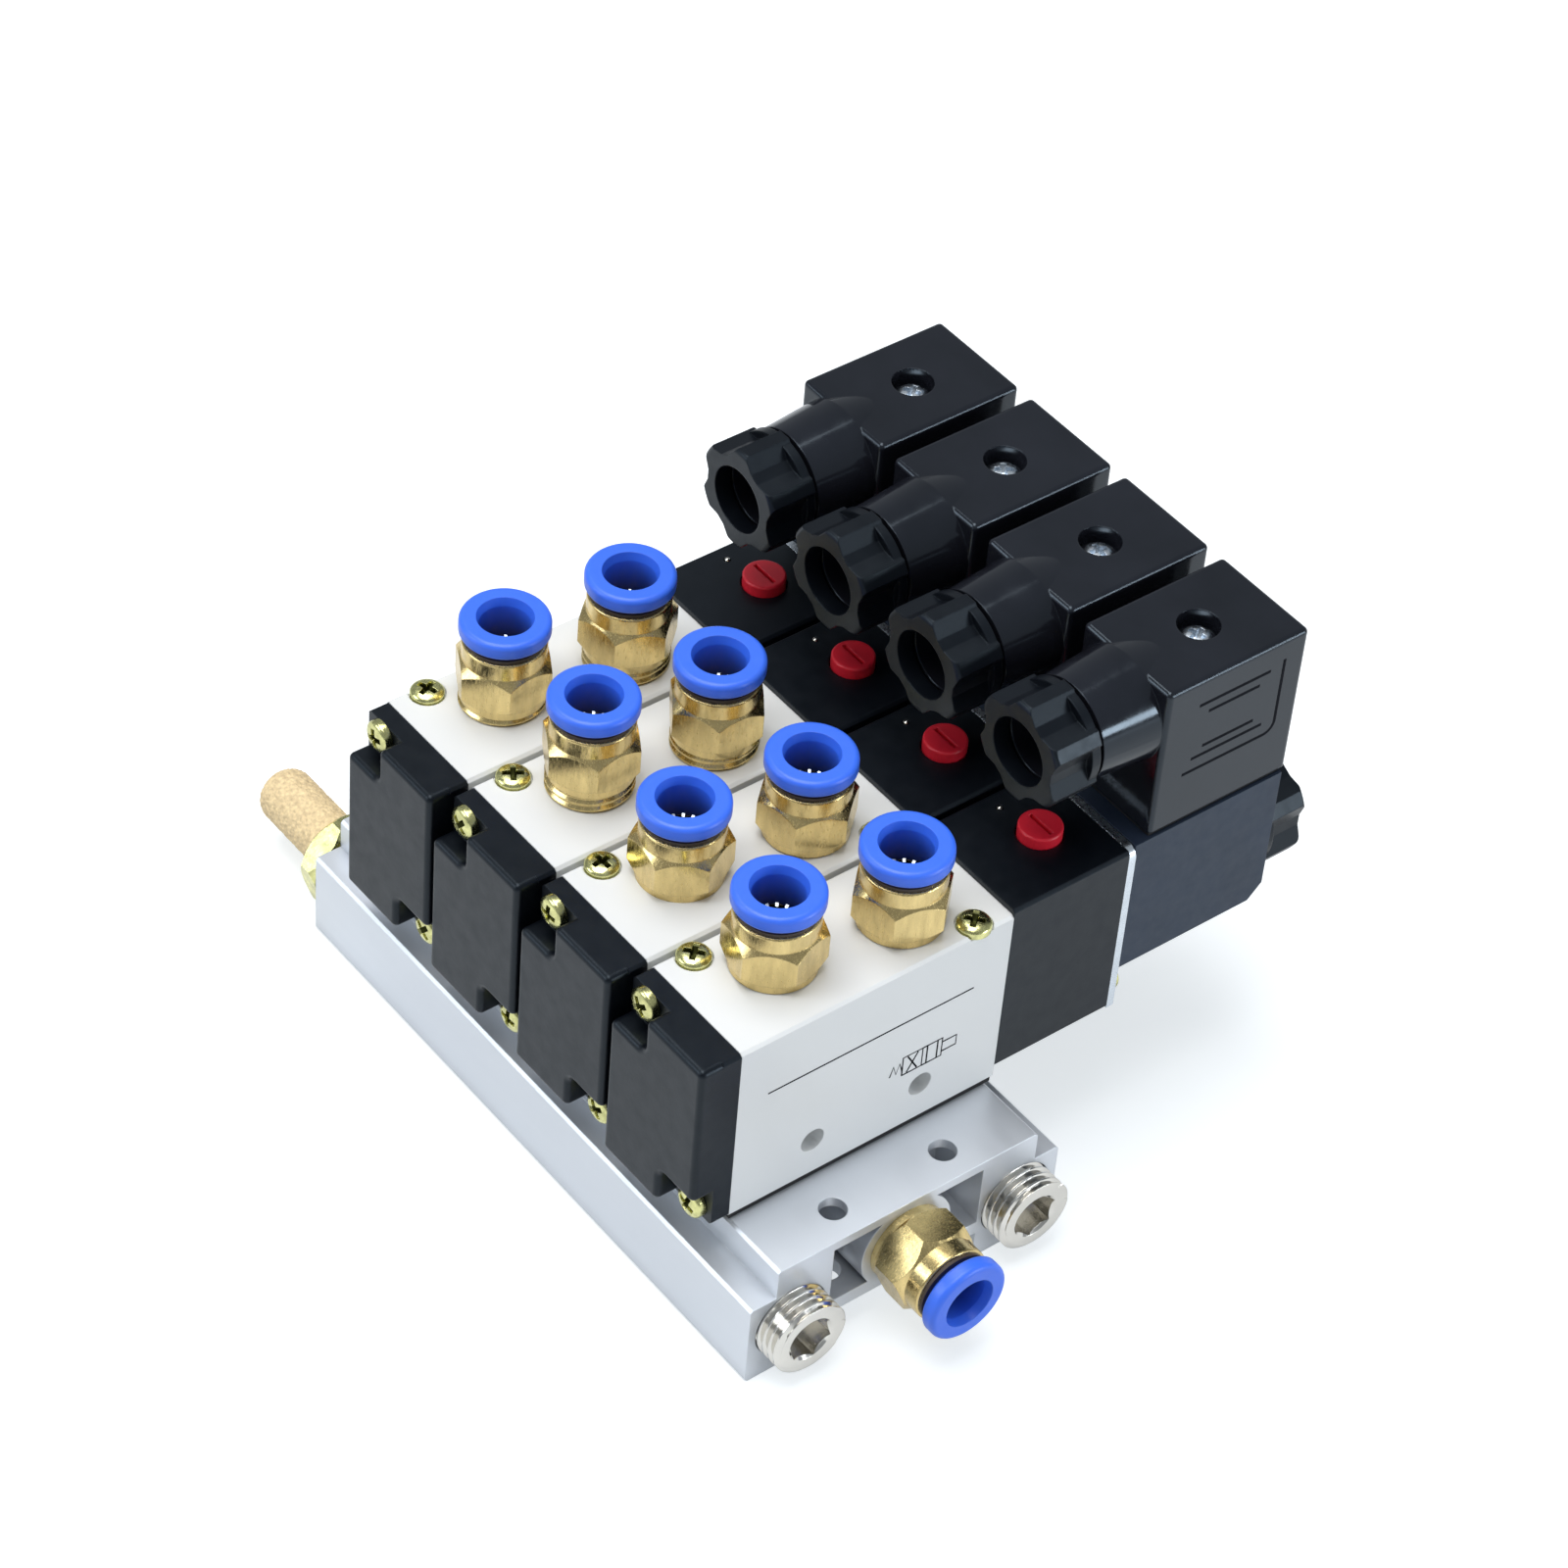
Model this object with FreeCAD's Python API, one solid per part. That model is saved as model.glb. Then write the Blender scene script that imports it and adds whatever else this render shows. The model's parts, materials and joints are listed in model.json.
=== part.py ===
import FreeCAD, Part
import math
import os

# Pneumatic valve island: four five-port solenoid valves side by side on one
# aluminium manifold. Millimetres. +X runs along the manifold to the air inlet,
# +Y runs along the valves from the end caps to the coils, +Z is up. Heights
# are counted from the manifold's base, and save() lowers each piece so that
# the origin lies in the deck, at the middle of the four mounting holes.

# Valves: four stations, each with this body
STATIONS = 4
BODY_WIDTH = 22.0
BODY_LENGTH = 51.0
BODY_HEIGHT = 35.0
BODY_CENTRE_Y = 0.5
VALVE_GAP = 1.0
END_MARGIN = 23.5            # last station to the manifold's end

# Manifold section
LEDGE_WIDTH = 4.8            # rail on each side of the raised deck
VALVE_OVERHANG = 0.5         # each end of a valve past the deck
RAIL_TOP = 16.0
DECK_TOP = 21.8
CHANNEL_HEIGHT = 5.6         # groove under the middle, between the two legs
EDGE_BREAK = 0.5

# Manifold end pockets, galleries and mounting holes
POCKET_DEPTH = 11.0
POCKET_LIP = 2.6
POCKET_ROOF = 1.8
BOSS_RADIUS = 8.6
SUPPLY_Z = 13.2
GALLERY_RADIUS = 5.2
EXHAUST_INSET = 8.0          # exhaust galleries from the manifold's sides
EXHAUST_Z = 9.4
LEG_INSET = 7.4              # channel wall to an exhaust gallery's axis
MOUTH_DEPTH = 10.0
MOUNT_INSET = 5.5
MOUNT_WALL = 3.8             # mounting hole's axis to the channel wall
MOUNT_HOLE_RADIUS = 2.25

# Pipe thread of every port, and the play between parts
THREAD_RADIUS = 6.58
THREAD_PLAY = 0.06
SCREW_RADIUS = 1.5
SCREW_CLEARANCE = 0.25
REST_GAP = 0.1               # between parts that face each other at rest
FREE_GAP = 0.25              # round parts that move freely
END_PLAY = 0.4               # behind a part that stops short
RUNNING_PLAY = 0.08

# Valve body's ports, passages and screws, and its gasket
GASKET_THICK = 0.8
GASKET_INSET = 0.3
PORT_A_ACROSS = -1.6
PORT_B_ACROSS = 1.5
PORT_A_SHARE = -0.1922       # along the valve, as a share of its length
PORT_B_SHARE = 0.2275
PORT_DEPTH = 9.4
SIDE_HOLE_RADIUS = 2.15
SIDE_HOLE_SPACING = 20.6
SIDE_HOLE_HEIGHT = 7.6       # above the body's foot
PASSAGE_RADIUS = 2.4
PASSAGE_SHIFT = 3.8          # exhaust passage inward of its gallery's axis
BODY_SCREW_SIDE = 2.1        # a valve screw from the body's side
BODY_SCREW_END = 6.1         # and from its end
COUNTERBORE_DEPTH = 0.7
SCREW_BITE = 6.8             # depth of a valve screw in the manifold

# Spool, its bore and its return spring
SPOOL_WALL = 5.0             # spool bore to the body's side
SPOOL_NECK_RADIUS = 3.2
LAND_WIDTH = 2.8
SPOOL_STROKE = 3.0
PISTON_WALL = 2.7
PISTON_THICK = 4.6
SPRING_WIRE = 0.8
SPRING_ROOM = 2.0            # spool spring to the wall of the spool bore

# End cap
CAP_THICK = 7.3
CAP_PLATE = 3.3
CAP_FLOOR = 1.6              # left behind the spring's seat
CAP_INSET = 0.2              # short of the valve's top and foot
CAP_ROUND = 1.0
NOTCH_WIDTH = 8.4
NOTCH_HEIGHT = 7.0
NOTCH_RADIUS = 1.8
CAP_SCREW_SIDE = 4.0         # a cap screw from the valve's side
CAP_SCREW_TOP = 2.5          # and from its top or foot
CAP_SCREW_BITE = 4.2

# Pan heads of the valve, cap and pilot screws
HEAD_RADIUS = 2.75
HEAD_HEIGHT = 1.9
HEAD_ROUND = 0.9

# Pilot body and manual override
PILOT_LENGTH = 22.7
PILOT_FOOT = 2.3             # pilot's underside above the body's foot
PILOT_RISE = 1.0             # pilot's top above the body's top
PILOT_SCREW_SIDE = 3.4       # a solenoid plate screw from the pilot's side
PILOT_SCREW_Z = 3.6
PILOT_SCREW_LENGTH = 10.0
OVERRIDE_Y = 13.9            # from the pilot's valve end
OVERRIDE_RADIUS = 3.55
OVERRIDE_PROUD = 1.9
OVERRIDE_SUNK = 1.4
OVERRIDE_TRAVEL = 1.2
OVERRIDE_FLOOR = 1.3         # well below the button's lowest place
OVERRIDE_ROUND = 0.4
OVERRIDE_PIN_RADIUS = 1.4
OVERRIDE_PIN_LENGTH = 7.4
OVERRIDE_FLANGE_RADIUS = 2.4
OVERRIDE_FLANGE_THICK = 0.8
SLOT_REACH = 2.55            # half the slot's length
SLOT_WIDTH = 0.7
SLOT_DEPTH = 1.0
VENT_SIDE = 3.3              # from the pilot's side
VENT_Y = 12.4
VENT_RADIUS = 0.6
VENT_DEPTH = 2.0

# Solenoid: plate, tube, plunger, coil and nut
PLATE_THICK = 1.4
PLATE_CORNER = 2.0
TUBE_RADIUS = 4.5
TUBE_WALL = 0.6
TUBE_PLAY = 0.2
COIL_LENGTH = 29.7
COIL_SIDE = 0.6              # each side, inward of the valve's
COIL_FOOT = 9.6              # coil's underside above the body's foot
COIL_AXIS = 10.4             # plunger tube above the coil's underside
COIL_CHAMFER = 2.6
PLUNGER_STROKE = 1.0
PLUNGER_LENGTH = 20.0
PLUNGER_NOSE = 1.2
PLUNGER_POCKET_RADIUS = 2.1
PLUNGER_POCKET_DEPTH = 8.0
CHAMBER_DEPTH = 4.6
COIL_NUT_SIDE = 0.7          # nut's lobes inward of the valve's sides
COIL_NUT_THICK = 8.2
STUD_RADIUS = 3.4
STUD_LENGTH = 5.0
COIL_NUT_TURN = 30.0

# Cable connector
SEAL_THICK = 0.7
CONNECTOR_LENGTH = 28.0
CONNECTOR_OVERHANG = 1.0     # past the coil's far end
CONNECTOR_SIDE = 1.0         # each side, inward of the valve's
CONNECTOR_HEIGHT = 28.2
CONNECTOR_ROUND = 0.9
GLAND_END_SIDE = 1.4         # gland's end inward of the connector's sides
GLAND_ROOT_SIDE = 0.5        # and where the gland meets the box
GLAND_LENGTH = 10.5
HOOD_RISE = 1.0              # gland's root above the box's top
HOOD_LENGTH = 9.0            # how far it fades out under the box's top
HOOD_TAPER = 1.5             # how much thinner it is there
GLAND_NECK_LENGTH = 6.0
GLAND_NECK_WALL = 1.2
GLAND_BORE_DEPTH = 21.0
GLAND_RING_GAP = 0.9
BLADE_WIDTH = 6.3
BLADE_THICK = 0.8
BLADE_LENGTH = 7.5
BLADE_PLAY = 0.3
BLADE_SPREAD = 5.6           # the two side blades from the middle
BLADE_PAIR_Y = 9.5           # from the connector's gland face
BLADE_EARTH_Y = 22.0
LOCK_SCREW_Y = 14.3
LOCK_BITE = 4.5
LOCK_HEAD_RADIUS = 2.4
LOCK_HEAD_HEIGHT = 1.7
LOCK_WELL_RADIUS = 3.45
LOCK_WELL_DEPTH = 3.4

# Six-lobed nuts of the cable gland and the coil
LOBES = 6
LOBE_SPAN = 14.0             # degrees of one lobe's crest
FLUTE_SPAN = 14.0            # degrees of one flute's floor
FLUTE_DEPTH = 1.8
GLAND_NUT_SIDE = 1.6         # lobes inward of the valve's sides
GLAND_NUT_WALL = 2.5         # lobes to the gland's neck
GLAND_NUT_LENGTH = 8.6
GLAND_NUT_FRONT = 3.0        # thickness in front of the gland's neck
GLAND_NUT_TURN = 30.0
NUT_FLANGE = 1.6             # unfluted ring at the seat of a nut
NUT_FLANGE_STEP = 0.5
NUT_ROUND = 0.8

# Push-in fitting for 8 mm tube, measured up from its seat
HEX_ACROSS_FLATS = 14.0
HEX_START = 1.4
HEX_HEIGHT = 6.6
HEX_TOP_CUT = 1.4            # cone that takes off the hexagon's upper corners
HEX_FOOT_CUT = 1.0
FITTING_ROOT_RADIUS = 6.9
STEM_CHAMFER = 0.7
SHOULDER_RADIUS = 6.7
SHOULDER_HEIGHT = 3.0
SHOULDER_ROUND = 0.4
LIP_RADIUS = 6.2
LIP_HEIGHT = 0.6
STEM_LENGTH = 9.0
TUBE_SOCKET_RADIUS = 4.1
SOCKET_STOP = 2.0            # tube stop above the seat
FLOW_RADIUS = 3.0

# How far each taper thread was screwed home: height left and hexagon's turn
PORT_A_LIFTS = (1.4, 3.0, 0.0, 0.2)
PORT_B_LIFTS = (2.7, 2.5, 0.3, 0.2)
PORT_A_TURNS = (32.0, 31.0, 54.0, 46.0)
PORT_B_TURNS = (9.0, 25.5, 9.0, 13.0)
INLET_TURN = 20.0

# Blue release collar
COLLAR_RADIUS = 7.2
COLLAR_FLANGE = 2.7
COLLAR_MOUTH = 0.4           # bevel into the bore
COLLAR_MOUTH_DEPTH = 1.5
COLLAR_SLEEVE_RADIUS = 5.2
COLLAR_SLEEVE_LENGTH = 5.0
COLLAR_TRAVEL = 0.9
COLLAR_TOP_ROUND = 0.9
COLLAR_FOOT_ROUND = 0.5

# Plugs and exhaust silencers in the gallery mouths
PLUG_PROUD = 5.0
PLUG_SOCKET = 7.0
PLUG_CHAMFER = 0.8
SILENCER_ACROSS_FLATS = 15.2
SILENCER_TURN = 45.0
SILENCER_GAP = 0.5           # hexagon off the manifold's end
SILENCER_HEX_THICK = 4.5
SILENCER_RADIUS = 4.9
SILENCER_LENGTH = 18.6
SILENCER_DOME = 3.2
SILENCER_SPIGOT = 2.0
SILENCER_STEP = 1.0          # spigot smaller than the thimble
SILENCER_WALL = 2.0
GALLERY_STEM = 8.0

# Places worked out from the sizes above
PITCH = BODY_WIDTH + VALVE_GAP
BASE_HALF = PITCH * (STATIONS - 1) / 2 + END_MARGIN
DECK_HALF = BODY_LENGTH / 2 - VALVE_OVERHANG
SIDE_HALF = DECK_HALF + LEDGE_WIDTH
EXHAUST_Y = SIDE_HALF - EXHAUST_INSET
LEG_HALF = EXHAUST_Y - LEG_INSET
MOUNT_Y = LEG_HALF - MOUNT_WALL
EXHAUST_PASSAGE_Y = EXHAUST_Y - PASSAGE_SHIFT
STATION_X = [PITCH * (k - (STATIONS - 1) / 2) for k in range(STATIONS)]
BODY_FOOT = DECK_TOP + GASKET_THICK
BODY_TOP = BODY_FOOT + BODY_HEIGHT
BODY_START = BODY_CENTRE_Y - BODY_LENGTH / 2
BODY_END = BODY_CENTRE_Y + BODY_LENGTH / 2
PORT_A_Y = PORT_A_SHARE * BODY_LENGTH
PORT_B_Y = PORT_B_SHARE * BODY_LENGTH
SPOOL_Z = BODY_FOOT + BODY_HEIGHT / 2
SPOOL_BORE_RADIUS = BODY_WIDTH / 2 - SPOOL_WALL
PISTON_RADIUS = BODY_WIDTH / 2 - PISTON_WALL
SPOOL_SPRING_RADIUS = SPOOL_BORE_RADIUS - SPRING_ROOM
SPRING_SEAT = BODY_START - CAP_THICK + CAP_FLOOR
CAP_OUTER = BODY_START - CAP_THICK
CAP_SEAT = BODY_START - CAP_PLATE
PILOT_END = BODY_END + PILOT_LENGTH
PILOT_BOTTOM = BODY_FOOT + PILOT_FOOT
PILOT_TOP = BODY_TOP + PILOT_RISE
PLATE_END = PILOT_END + PLATE_THICK
COIL_START = PLATE_END + TUBE_PLAY
COIL_END = COIL_START + COIL_LENGTH
COIL_BOTTOM = BODY_FOOT + COIL_FOOT
COIL_TOP = PILOT_TOP
COIL_Z = COIL_BOTTOM + COIL_AXIS
COIL_HALF = BODY_WIDTH / 2 - COIL_SIDE
CONNECTOR_FOOT = COIL_TOP + SEAL_THICK
CONNECTOR_TOP = CONNECTOR_FOOT + CONNECTOR_HEIGHT
CONNECTOR_END = COIL_END + CONNECTOR_OVERHANG
CONNECTOR_START = CONNECTOR_END - CONNECTOR_LENGTH
CONNECTOR_HALF = BODY_WIDTH / 2 - CONNECTOR_SIDE
GLAND_RADIUS = CONNECTOR_HALF - GLAND_END_SIDE
GLAND_ROOT_RADIUS = CONNECTOR_HALF - GLAND_ROOT_SIDE
HOOD_END_RADIUS = GLAND_ROOT_RADIUS - HOOD_TAPER
GLAND_NUT_RADIUS = BODY_WIDTH / 2 - GLAND_NUT_SIDE
GLAND_NECK_RADIUS = GLAND_NUT_RADIUS - GLAND_NUT_WALL
GLAND_BORE_RADIUS = GLAND_NECK_RADIUS - GLAND_NECK_WALL
GLAND_Z = CONNECTOR_TOP + HOOD_RISE - GLAND_ROOT_RADIUS
GLAND_END = CONNECTOR_START - GLAND_LENGTH
GLAND_NUT_END = GLAND_END - GLAND_RING_GAP
LOCK_Y = CONNECTOR_START + LOCK_SCREW_Y
BUTTON_Y = BODY_END + OVERRIDE_Y
BUTTON_FOOT = PILOT_TOP - OVERRIDE_SUNK
MOUTH_RADIUS = THREAD_RADIUS + THREAD_PLAY
TAP_RADIUS = SCREW_RADIUS + THREAD_PLAY
SHANK_HOLE = SCREW_RADIUS + SCREW_CLEARANCE
HEAD_HOLE = HEAD_RADIUS + SCREW_CLEARANCE
HEX_TOP = HEX_START + HEX_HEIGHT
SHOULDER_TOP = HEX_TOP + SHOULDER_HEIGHT
LIP_TOP = SHOULDER_TOP + LIP_HEIGHT
COLLAR_FOOT = LIP_TOP + COLLAR_TRAVEL + REST_GAP
COLLAR_TOP = COLLAR_FOOT + COLLAR_FLANGE
SLEEVE_FOOT = COLLAR_FOOT - COLLAR_SLEEVE_LENGTH
SLEEVE_STOP = SLEEVE_FOOT - COLLAR_TRAVEL - REST_GAP
TUBE_BORE = TUBE_RADIUS - TUBE_WALL
PLUNGER_RADIUS = TUBE_BORE - RUNNING_PLAY
PLUNGER_START = PILOT_END - CHAMBER_DEPTH + PLUNGER_NOSE
CORE_FACE = PLUNGER_START + PLUNGER_LENGTH + PLUNGER_STROKE + FREE_GAP
PISTON_START = BODY_END + SPOOL_STROKE + END_PLAY

X_AXIS = FreeCAD.Vector(1, 0, 0)
Y_AXIS = FreeCAD.Vector(0, 1, 0)
Z_AXIS = FreeCAD.Vector(0, 0, 1)


# Basic forms
def box(x0, x1, y0, y1, z0, z1):
    """A block between two opposite corners."""
    return Part.makeBox(x1 - x0, y1 - y0, z1 - z0, FreeCAD.Vector(x0, y0, z0))


def rod(radius, x, y, z, axis, length):
    """A cylinder from a point along an axis."""
    return Part.makeCylinder(radius, length, FreeCAD.Vector(x, y, z), axis)


def placed(shape, x, y, z, axis=Z_AXIS):
    """Stand a shape that was made along +Z on a point, along an axis."""
    turn = FreeCAD.Rotation(Z_AXIS, axis)
    shape.Placement = FreeCAD.Placement(FreeCAD.Vector(x, y, z), turn)
    return shape


def turned(outline):
    """Turn a closed outline of (radius, height) points about +Z."""
    points = [FreeCAD.Vector(r, 0, h) for r, h in outline]
    face = Part.Face(Part.makePolygon(points + points[:1]))
    return face.revolve(FreeCAD.Vector(0, 0, 0), Z_AXIS, 360)


def prism(outline, height):
    """A straight prism on a closed outline of (x, y) points."""
    points = [FreeCAD.Vector(x, y, 0) for x, y in outline]
    return Part.Face(Part.makePolygon(points + points[:1])).extrude(Z_AXIS * height)


def section_y(outline, y0, y1):
    """A prism along Y on a closed outline of (x, z) points."""
    points = [FreeCAD.Vector(x, y0, z) for x, z in outline]
    face = Part.Face(Part.makePolygon(points + points[:1]))
    return face.extrude(Y_AXIS * (y1 - y0))


def section_x(outline, x0, x1):
    """A prism along X on a closed outline of (y, z) points."""
    points = [FreeCAD.Vector(x0, y, z) for y, z in outline]
    face = Part.Face(Part.makePolygon(points + points[:1]))
    return face.extrude(X_AXIS * (x1 - x0))


def ring_points(radius, count, start=0.0):
    """Evenly spaced points on a circle."""
    angles = [start + 2 * math.pi * i / count for i in range(count)]
    return [(radius * math.cos(a), radius * math.sin(a)) for a in angles]


def hexagon(across_flats, height, start=0.0):
    """A hexagonal prism standing at the origin."""
    return prism(ring_points(across_flats / math.sqrt(3), 6, start), height)


def chamfered_hexagon(across_flats, height, start=0.0):
    """A hexagon whose corners are turned off by a cone at both ends."""
    corner = across_flats / math.sqrt(3)
    foot = corner - HEX_FOOT_CUT
    top = corner - HEX_TOP_CUT
    shell = turned([(0, 0), (foot, 0), (corner, HEX_FOOT_CUT), (corner, height - HEX_TOP_CUT),
                    (top, height), (0, height)])
    return hexagon(across_flats, height, start).common(shell)


def rounded_rims(shape, radius, rims):
    """Round the circular edges at the given (radius, height) places of a turned shape."""
    def is_rim(edge):
        curve = edge.Curve
        return isinstance(curve, Part.Circle) and any(
            abs(curve.Radius - r) < 1e-6 and abs(curve.Center.z - h) < 1e-6 for r, h in rims)
    return shape.makeFillet(radius, [e for e in shape.Edges if is_rim(e)])


def lobed_nut(radius, height, turn):
    """A nut with lobes round it and a plain ring at its seat, which lies at the origin."""
    dip = radius - FLUTE_DEPTH
    pitch = 360.0 / LOBES
    outline = []
    for i in range(LOBES):
        crest = turn + pitch * i
        for offset, r in ((-LOBE_SPAN / 2, radius), (LOBE_SPAN / 2, radius),
                          ((pitch - FLUTE_SPAN) / 2, dip), ((pitch + FLUTE_SPAN) / 2, dip)):
            angle = math.radians(crest + offset)
            outline.append((r * math.cos(angle), r * math.sin(angle)))
    nut = prism(outline, height)
    nut = nut.common(rounded_rims(rod(radius, 0, 0, 0, Z_AXIS, height), NUT_ROUND, [(radius, height)]))
    return nut.fuse(rod(radius - NUT_FLANGE_STEP, 0, 0, 0, Z_AXIS, NUT_FLANGE))


def chamfered_box(x0, x1, y0, y1, z0, z1, cut):
    """A block whose four edges along Y are broken."""
    outline = [(x0 + cut, z0), (x1 - cut, z0), (x1, z0 + cut), (x1, z1 - cut),
               (x1 - cut, z1), (x0 + cut, z1), (x0, z1 - cut), (x0, z0 + cut)]
    return section_y(outline, y0, y1)


def pan_head_screw(length):
    """A pan-head screw with its seat at the origin and its head along +Z."""
    outline = [(0, -length), (SCREW_RADIUS, -length), (SCREW_RADIUS, 0), (HEAD_RADIUS, 0),
               (HEAD_RADIUS, HEAD_HEIGHT), (0, HEAD_HEIGHT)]
    return rounded_rims(turned(outline), HEAD_ROUND, [(HEAD_RADIUS, HEAD_HEIGHT)])


def sleeve_spring(radius, y0, y1, x, z):
    """The space of a coil spring that lies along Y."""
    outer = rod(radius, x, y0, z, Y_AXIS, y1 - y0)
    return outer.cut(rod(radius - SPRING_WIRE, x, y0, z, Y_AXIS, y1 - y0))


# Manifold
def manifold_base():
    """Extruded base with three galleries, end pockets and valve passages."""
    half = SIDE_HALF
    cut = EDGE_BREAK
    right = [(LEG_HALF, CHANNEL_HEIGHT), (LEG_HALF, 0), (half - cut, 0), (half, cut), (half, RAIL_TOP - cut),
             (half - cut, RAIL_TOP), (DECK_HALF, RAIL_TOP), (DECK_HALF, DECK_TOP - cut),
             (DECK_HALF - cut, DECK_TOP)]
    left = [(-y, z) for y, z in reversed(right)]
    base = section_x(right + left, -BASE_HALF, BASE_HALF)

    boss = rod(BOSS_RADIUS, -BASE_HALF, 0, SUPPLY_Z, X_AXIS, 2 * BASE_HALF)
    for side in (-1, 1):
        outer = side * BASE_HALF
        inner = outer - side * POCKET_DEPTH
        pocket = box(min(outer, inner), max(outer, inner), -LEG_HALF, LEG_HALF,
                     CHANNEL_HEIGHT + POCKET_LIP, DECK_TOP - POCKET_ROOF)
        base = base.cut(pocket.cut(boss))

    cuts = []
    for y, z in ((0, SUPPLY_Z), (-EXHAUST_Y, EXHAUST_Z), (EXHAUST_Y, EXHAUST_Z)):
        cuts.append(rod(GALLERY_RADIUS, -BASE_HALF, y, z, X_AXIS, 2 * BASE_HALF))
        cuts.append(rod(MOUTH_RADIUS, -BASE_HALF, y, z, X_AXIS, MOUTH_DEPTH))
        cuts.append(rod(MOUTH_RADIUS, BASE_HALF - MOUTH_DEPTH, y, z, X_AXIS, MOUTH_DEPTH))
    for x in STATION_X:
        for y, z in passages():
            cuts.append(rod(PASSAGE_RADIUS, x, y, z, Z_AXIS, DECK_TOP - z))
        for dx, y in body_screws():
            cuts.append(rod(TAP_RADIUS, x + dx, y, DECK_TOP - SCREW_BITE - END_PLAY, Z_AXIS,
                            SCREW_BITE + END_PLAY))
    for x, y in mounting_holes():
        cuts.append(rod(MOUNT_HOLE_RADIUS, x, y, 0, Z_AXIS, DECK_TOP))
    return base.cut(cuts)


def mounting_holes():
    """Four holes through the end pockets."""
    x = BASE_HALF - MOUNT_INSET
    return [(sx * x, sy * MOUNT_Y) for sx in (-1, 1) for sy in (-1, 1)]


def passages():
    """Exhaust, supply and exhaust passages under each valve: y and gallery height."""
    return [(-EXHAUST_PASSAGE_Y, EXHAUST_Z), (0, SUPPLY_Z), (EXHAUST_PASSAGE_Y, EXHAUST_Z)]


def body_screws():
    """The two screws of a valve stand at opposite corners."""
    across = BODY_WIDTH / 2 - BODY_SCREW_SIDE
    return [(-across, BODY_START + BODY_SCREW_END), (across, BODY_END - BODY_SCREW_END)]


def cap_screws():
    """The two screws of an end cap stand at opposite corners: across, up."""
    across = BODY_WIDTH / 2 - CAP_SCREW_SIDE
    return [(-across, BODY_TOP - CAP_SCREW_TOP), (across, BODY_FOOT + CAP_SCREW_TOP)]


def pilot_screws():
    """The two screws of the solenoid plate, under the coil: across, up."""
    across = BODY_WIDTH / 2 - PILOT_SCREW_SIDE
    return [(-across, PILOT_BOTTOM + PILOT_SCREW_Z), (across, PILOT_BOTTOM + PILOT_SCREW_Z)]


def valve_gasket(x):
    """Flat rubber gasket between a valve and the manifold."""
    half = BODY_WIDTH / 2 - GASKET_INSET
    sheet = box(x - half, x + half, BODY_START + GASKET_INSET, BODY_END - GASKET_INSET, DECK_TOP, BODY_FOOT)
    holes = [rod(PASSAGE_RADIUS, x, y, DECK_TOP, Z_AXIS, GASKET_THICK) for y, z in passages()]
    holes += [rod(SHANK_HOLE, x + dx, y, DECK_TOP, Z_AXIS, GASKET_THICK) for dx, y in body_screws()]
    return sheet.cut(holes)


# Valve
def valve_body(x):
    """White valve body with its spool bore, ports, passages and screw holes."""
    half = BODY_WIDTH / 2
    body = chamfered_box(x - half, x + half, BODY_START, BODY_END, BODY_FOOT, BODY_TOP, EDGE_BREAK)
    cuts = [rod(SPOOL_BORE_RADIUS, x, BODY_START, SPOOL_Z, Y_AXIS, BODY_LENGTH)]
    for dx, y in ((PORT_A_ACROSS, PORT_A_Y), (PORT_B_ACROSS, PORT_B_Y)):
        cuts.append(rod(MOUTH_RADIUS, x + dx, y, BODY_TOP - PORT_DEPTH, Z_AXIS, PORT_DEPTH))
        cuts.append(rod(FLOW_RADIUS, x + dx, y, SPOOL_Z, Z_AXIS, BODY_HEIGHT / 2))
    for y, z in passages():
        cuts.append(rod(PASSAGE_RADIUS, x, y, BODY_FOOT, Z_AXIS, SPOOL_Z - BODY_FOOT))
    for side in (-1, 1):
        y = BODY_CENTRE_Y + side * SIDE_HOLE_SPACING / 2
        cuts.append(rod(SIDE_HOLE_RADIUS, x - half, y, BODY_FOOT + SIDE_HOLE_HEIGHT, X_AXIS, BODY_WIDTH))
    for dx, y in body_screws():
        cuts.append(rod(SHANK_HOLE, x + dx, y, BODY_FOOT, Z_AXIS, BODY_HEIGHT))
        cuts.append(rod(HEAD_HOLE, x + dx, y, BODY_TOP - COUNTERBORE_DEPTH, Z_AXIS, COUNTERBORE_DEPTH))
    for dx, z in cap_screws():
        cuts.append(rod(TAP_RADIUS, x + dx, BODY_START, z, Y_AXIS, CAP_SCREW_BITE + END_PLAY))
    return body.cut(cuts)


def spool(x):
    """Spool with six lands, and the pilot piston on its far end."""
    neck = SPOOL_NECK_RADIUS
    land = SPOOL_BORE_RADIUS - RUNNING_PLAY
    start = BODY_START + SPOOL_STROKE + END_PLAY
    tail = BODY_END - END_PLAY
    middles = [start + LAND_WIDTH / 2, (PORT_A_Y - EXHAUST_PASSAGE_Y) / 2, PORT_A_Y / 2,
               PORT_B_Y / 2, (PORT_B_Y + EXHAUST_PASSAGE_Y) / 2, tail - LAND_WIDTH / 2]
    outline = [(0, start)]
    for middle in middles:
        low = middle - LAND_WIDTH / 2
        high = middle + LAND_WIDTH / 2
        if middle > middles[0]:
            outline.append((neck, low))
        outline += [(land, low), (land, high)]
        if middle < middles[-1]:
            outline.append((neck, high))
    piston = PISTON_RADIUS - RUNNING_PLAY
    outline += [(neck, tail), (neck, PISTON_START), (piston, PISTON_START),
                (piston, PISTON_START + PISTON_THICK), (0, PISTON_START + PISTON_THICK)]
    shape = turned(outline)
    return placed(shape, x, 0, SPOOL_Z, Y_AXIS)


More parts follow.
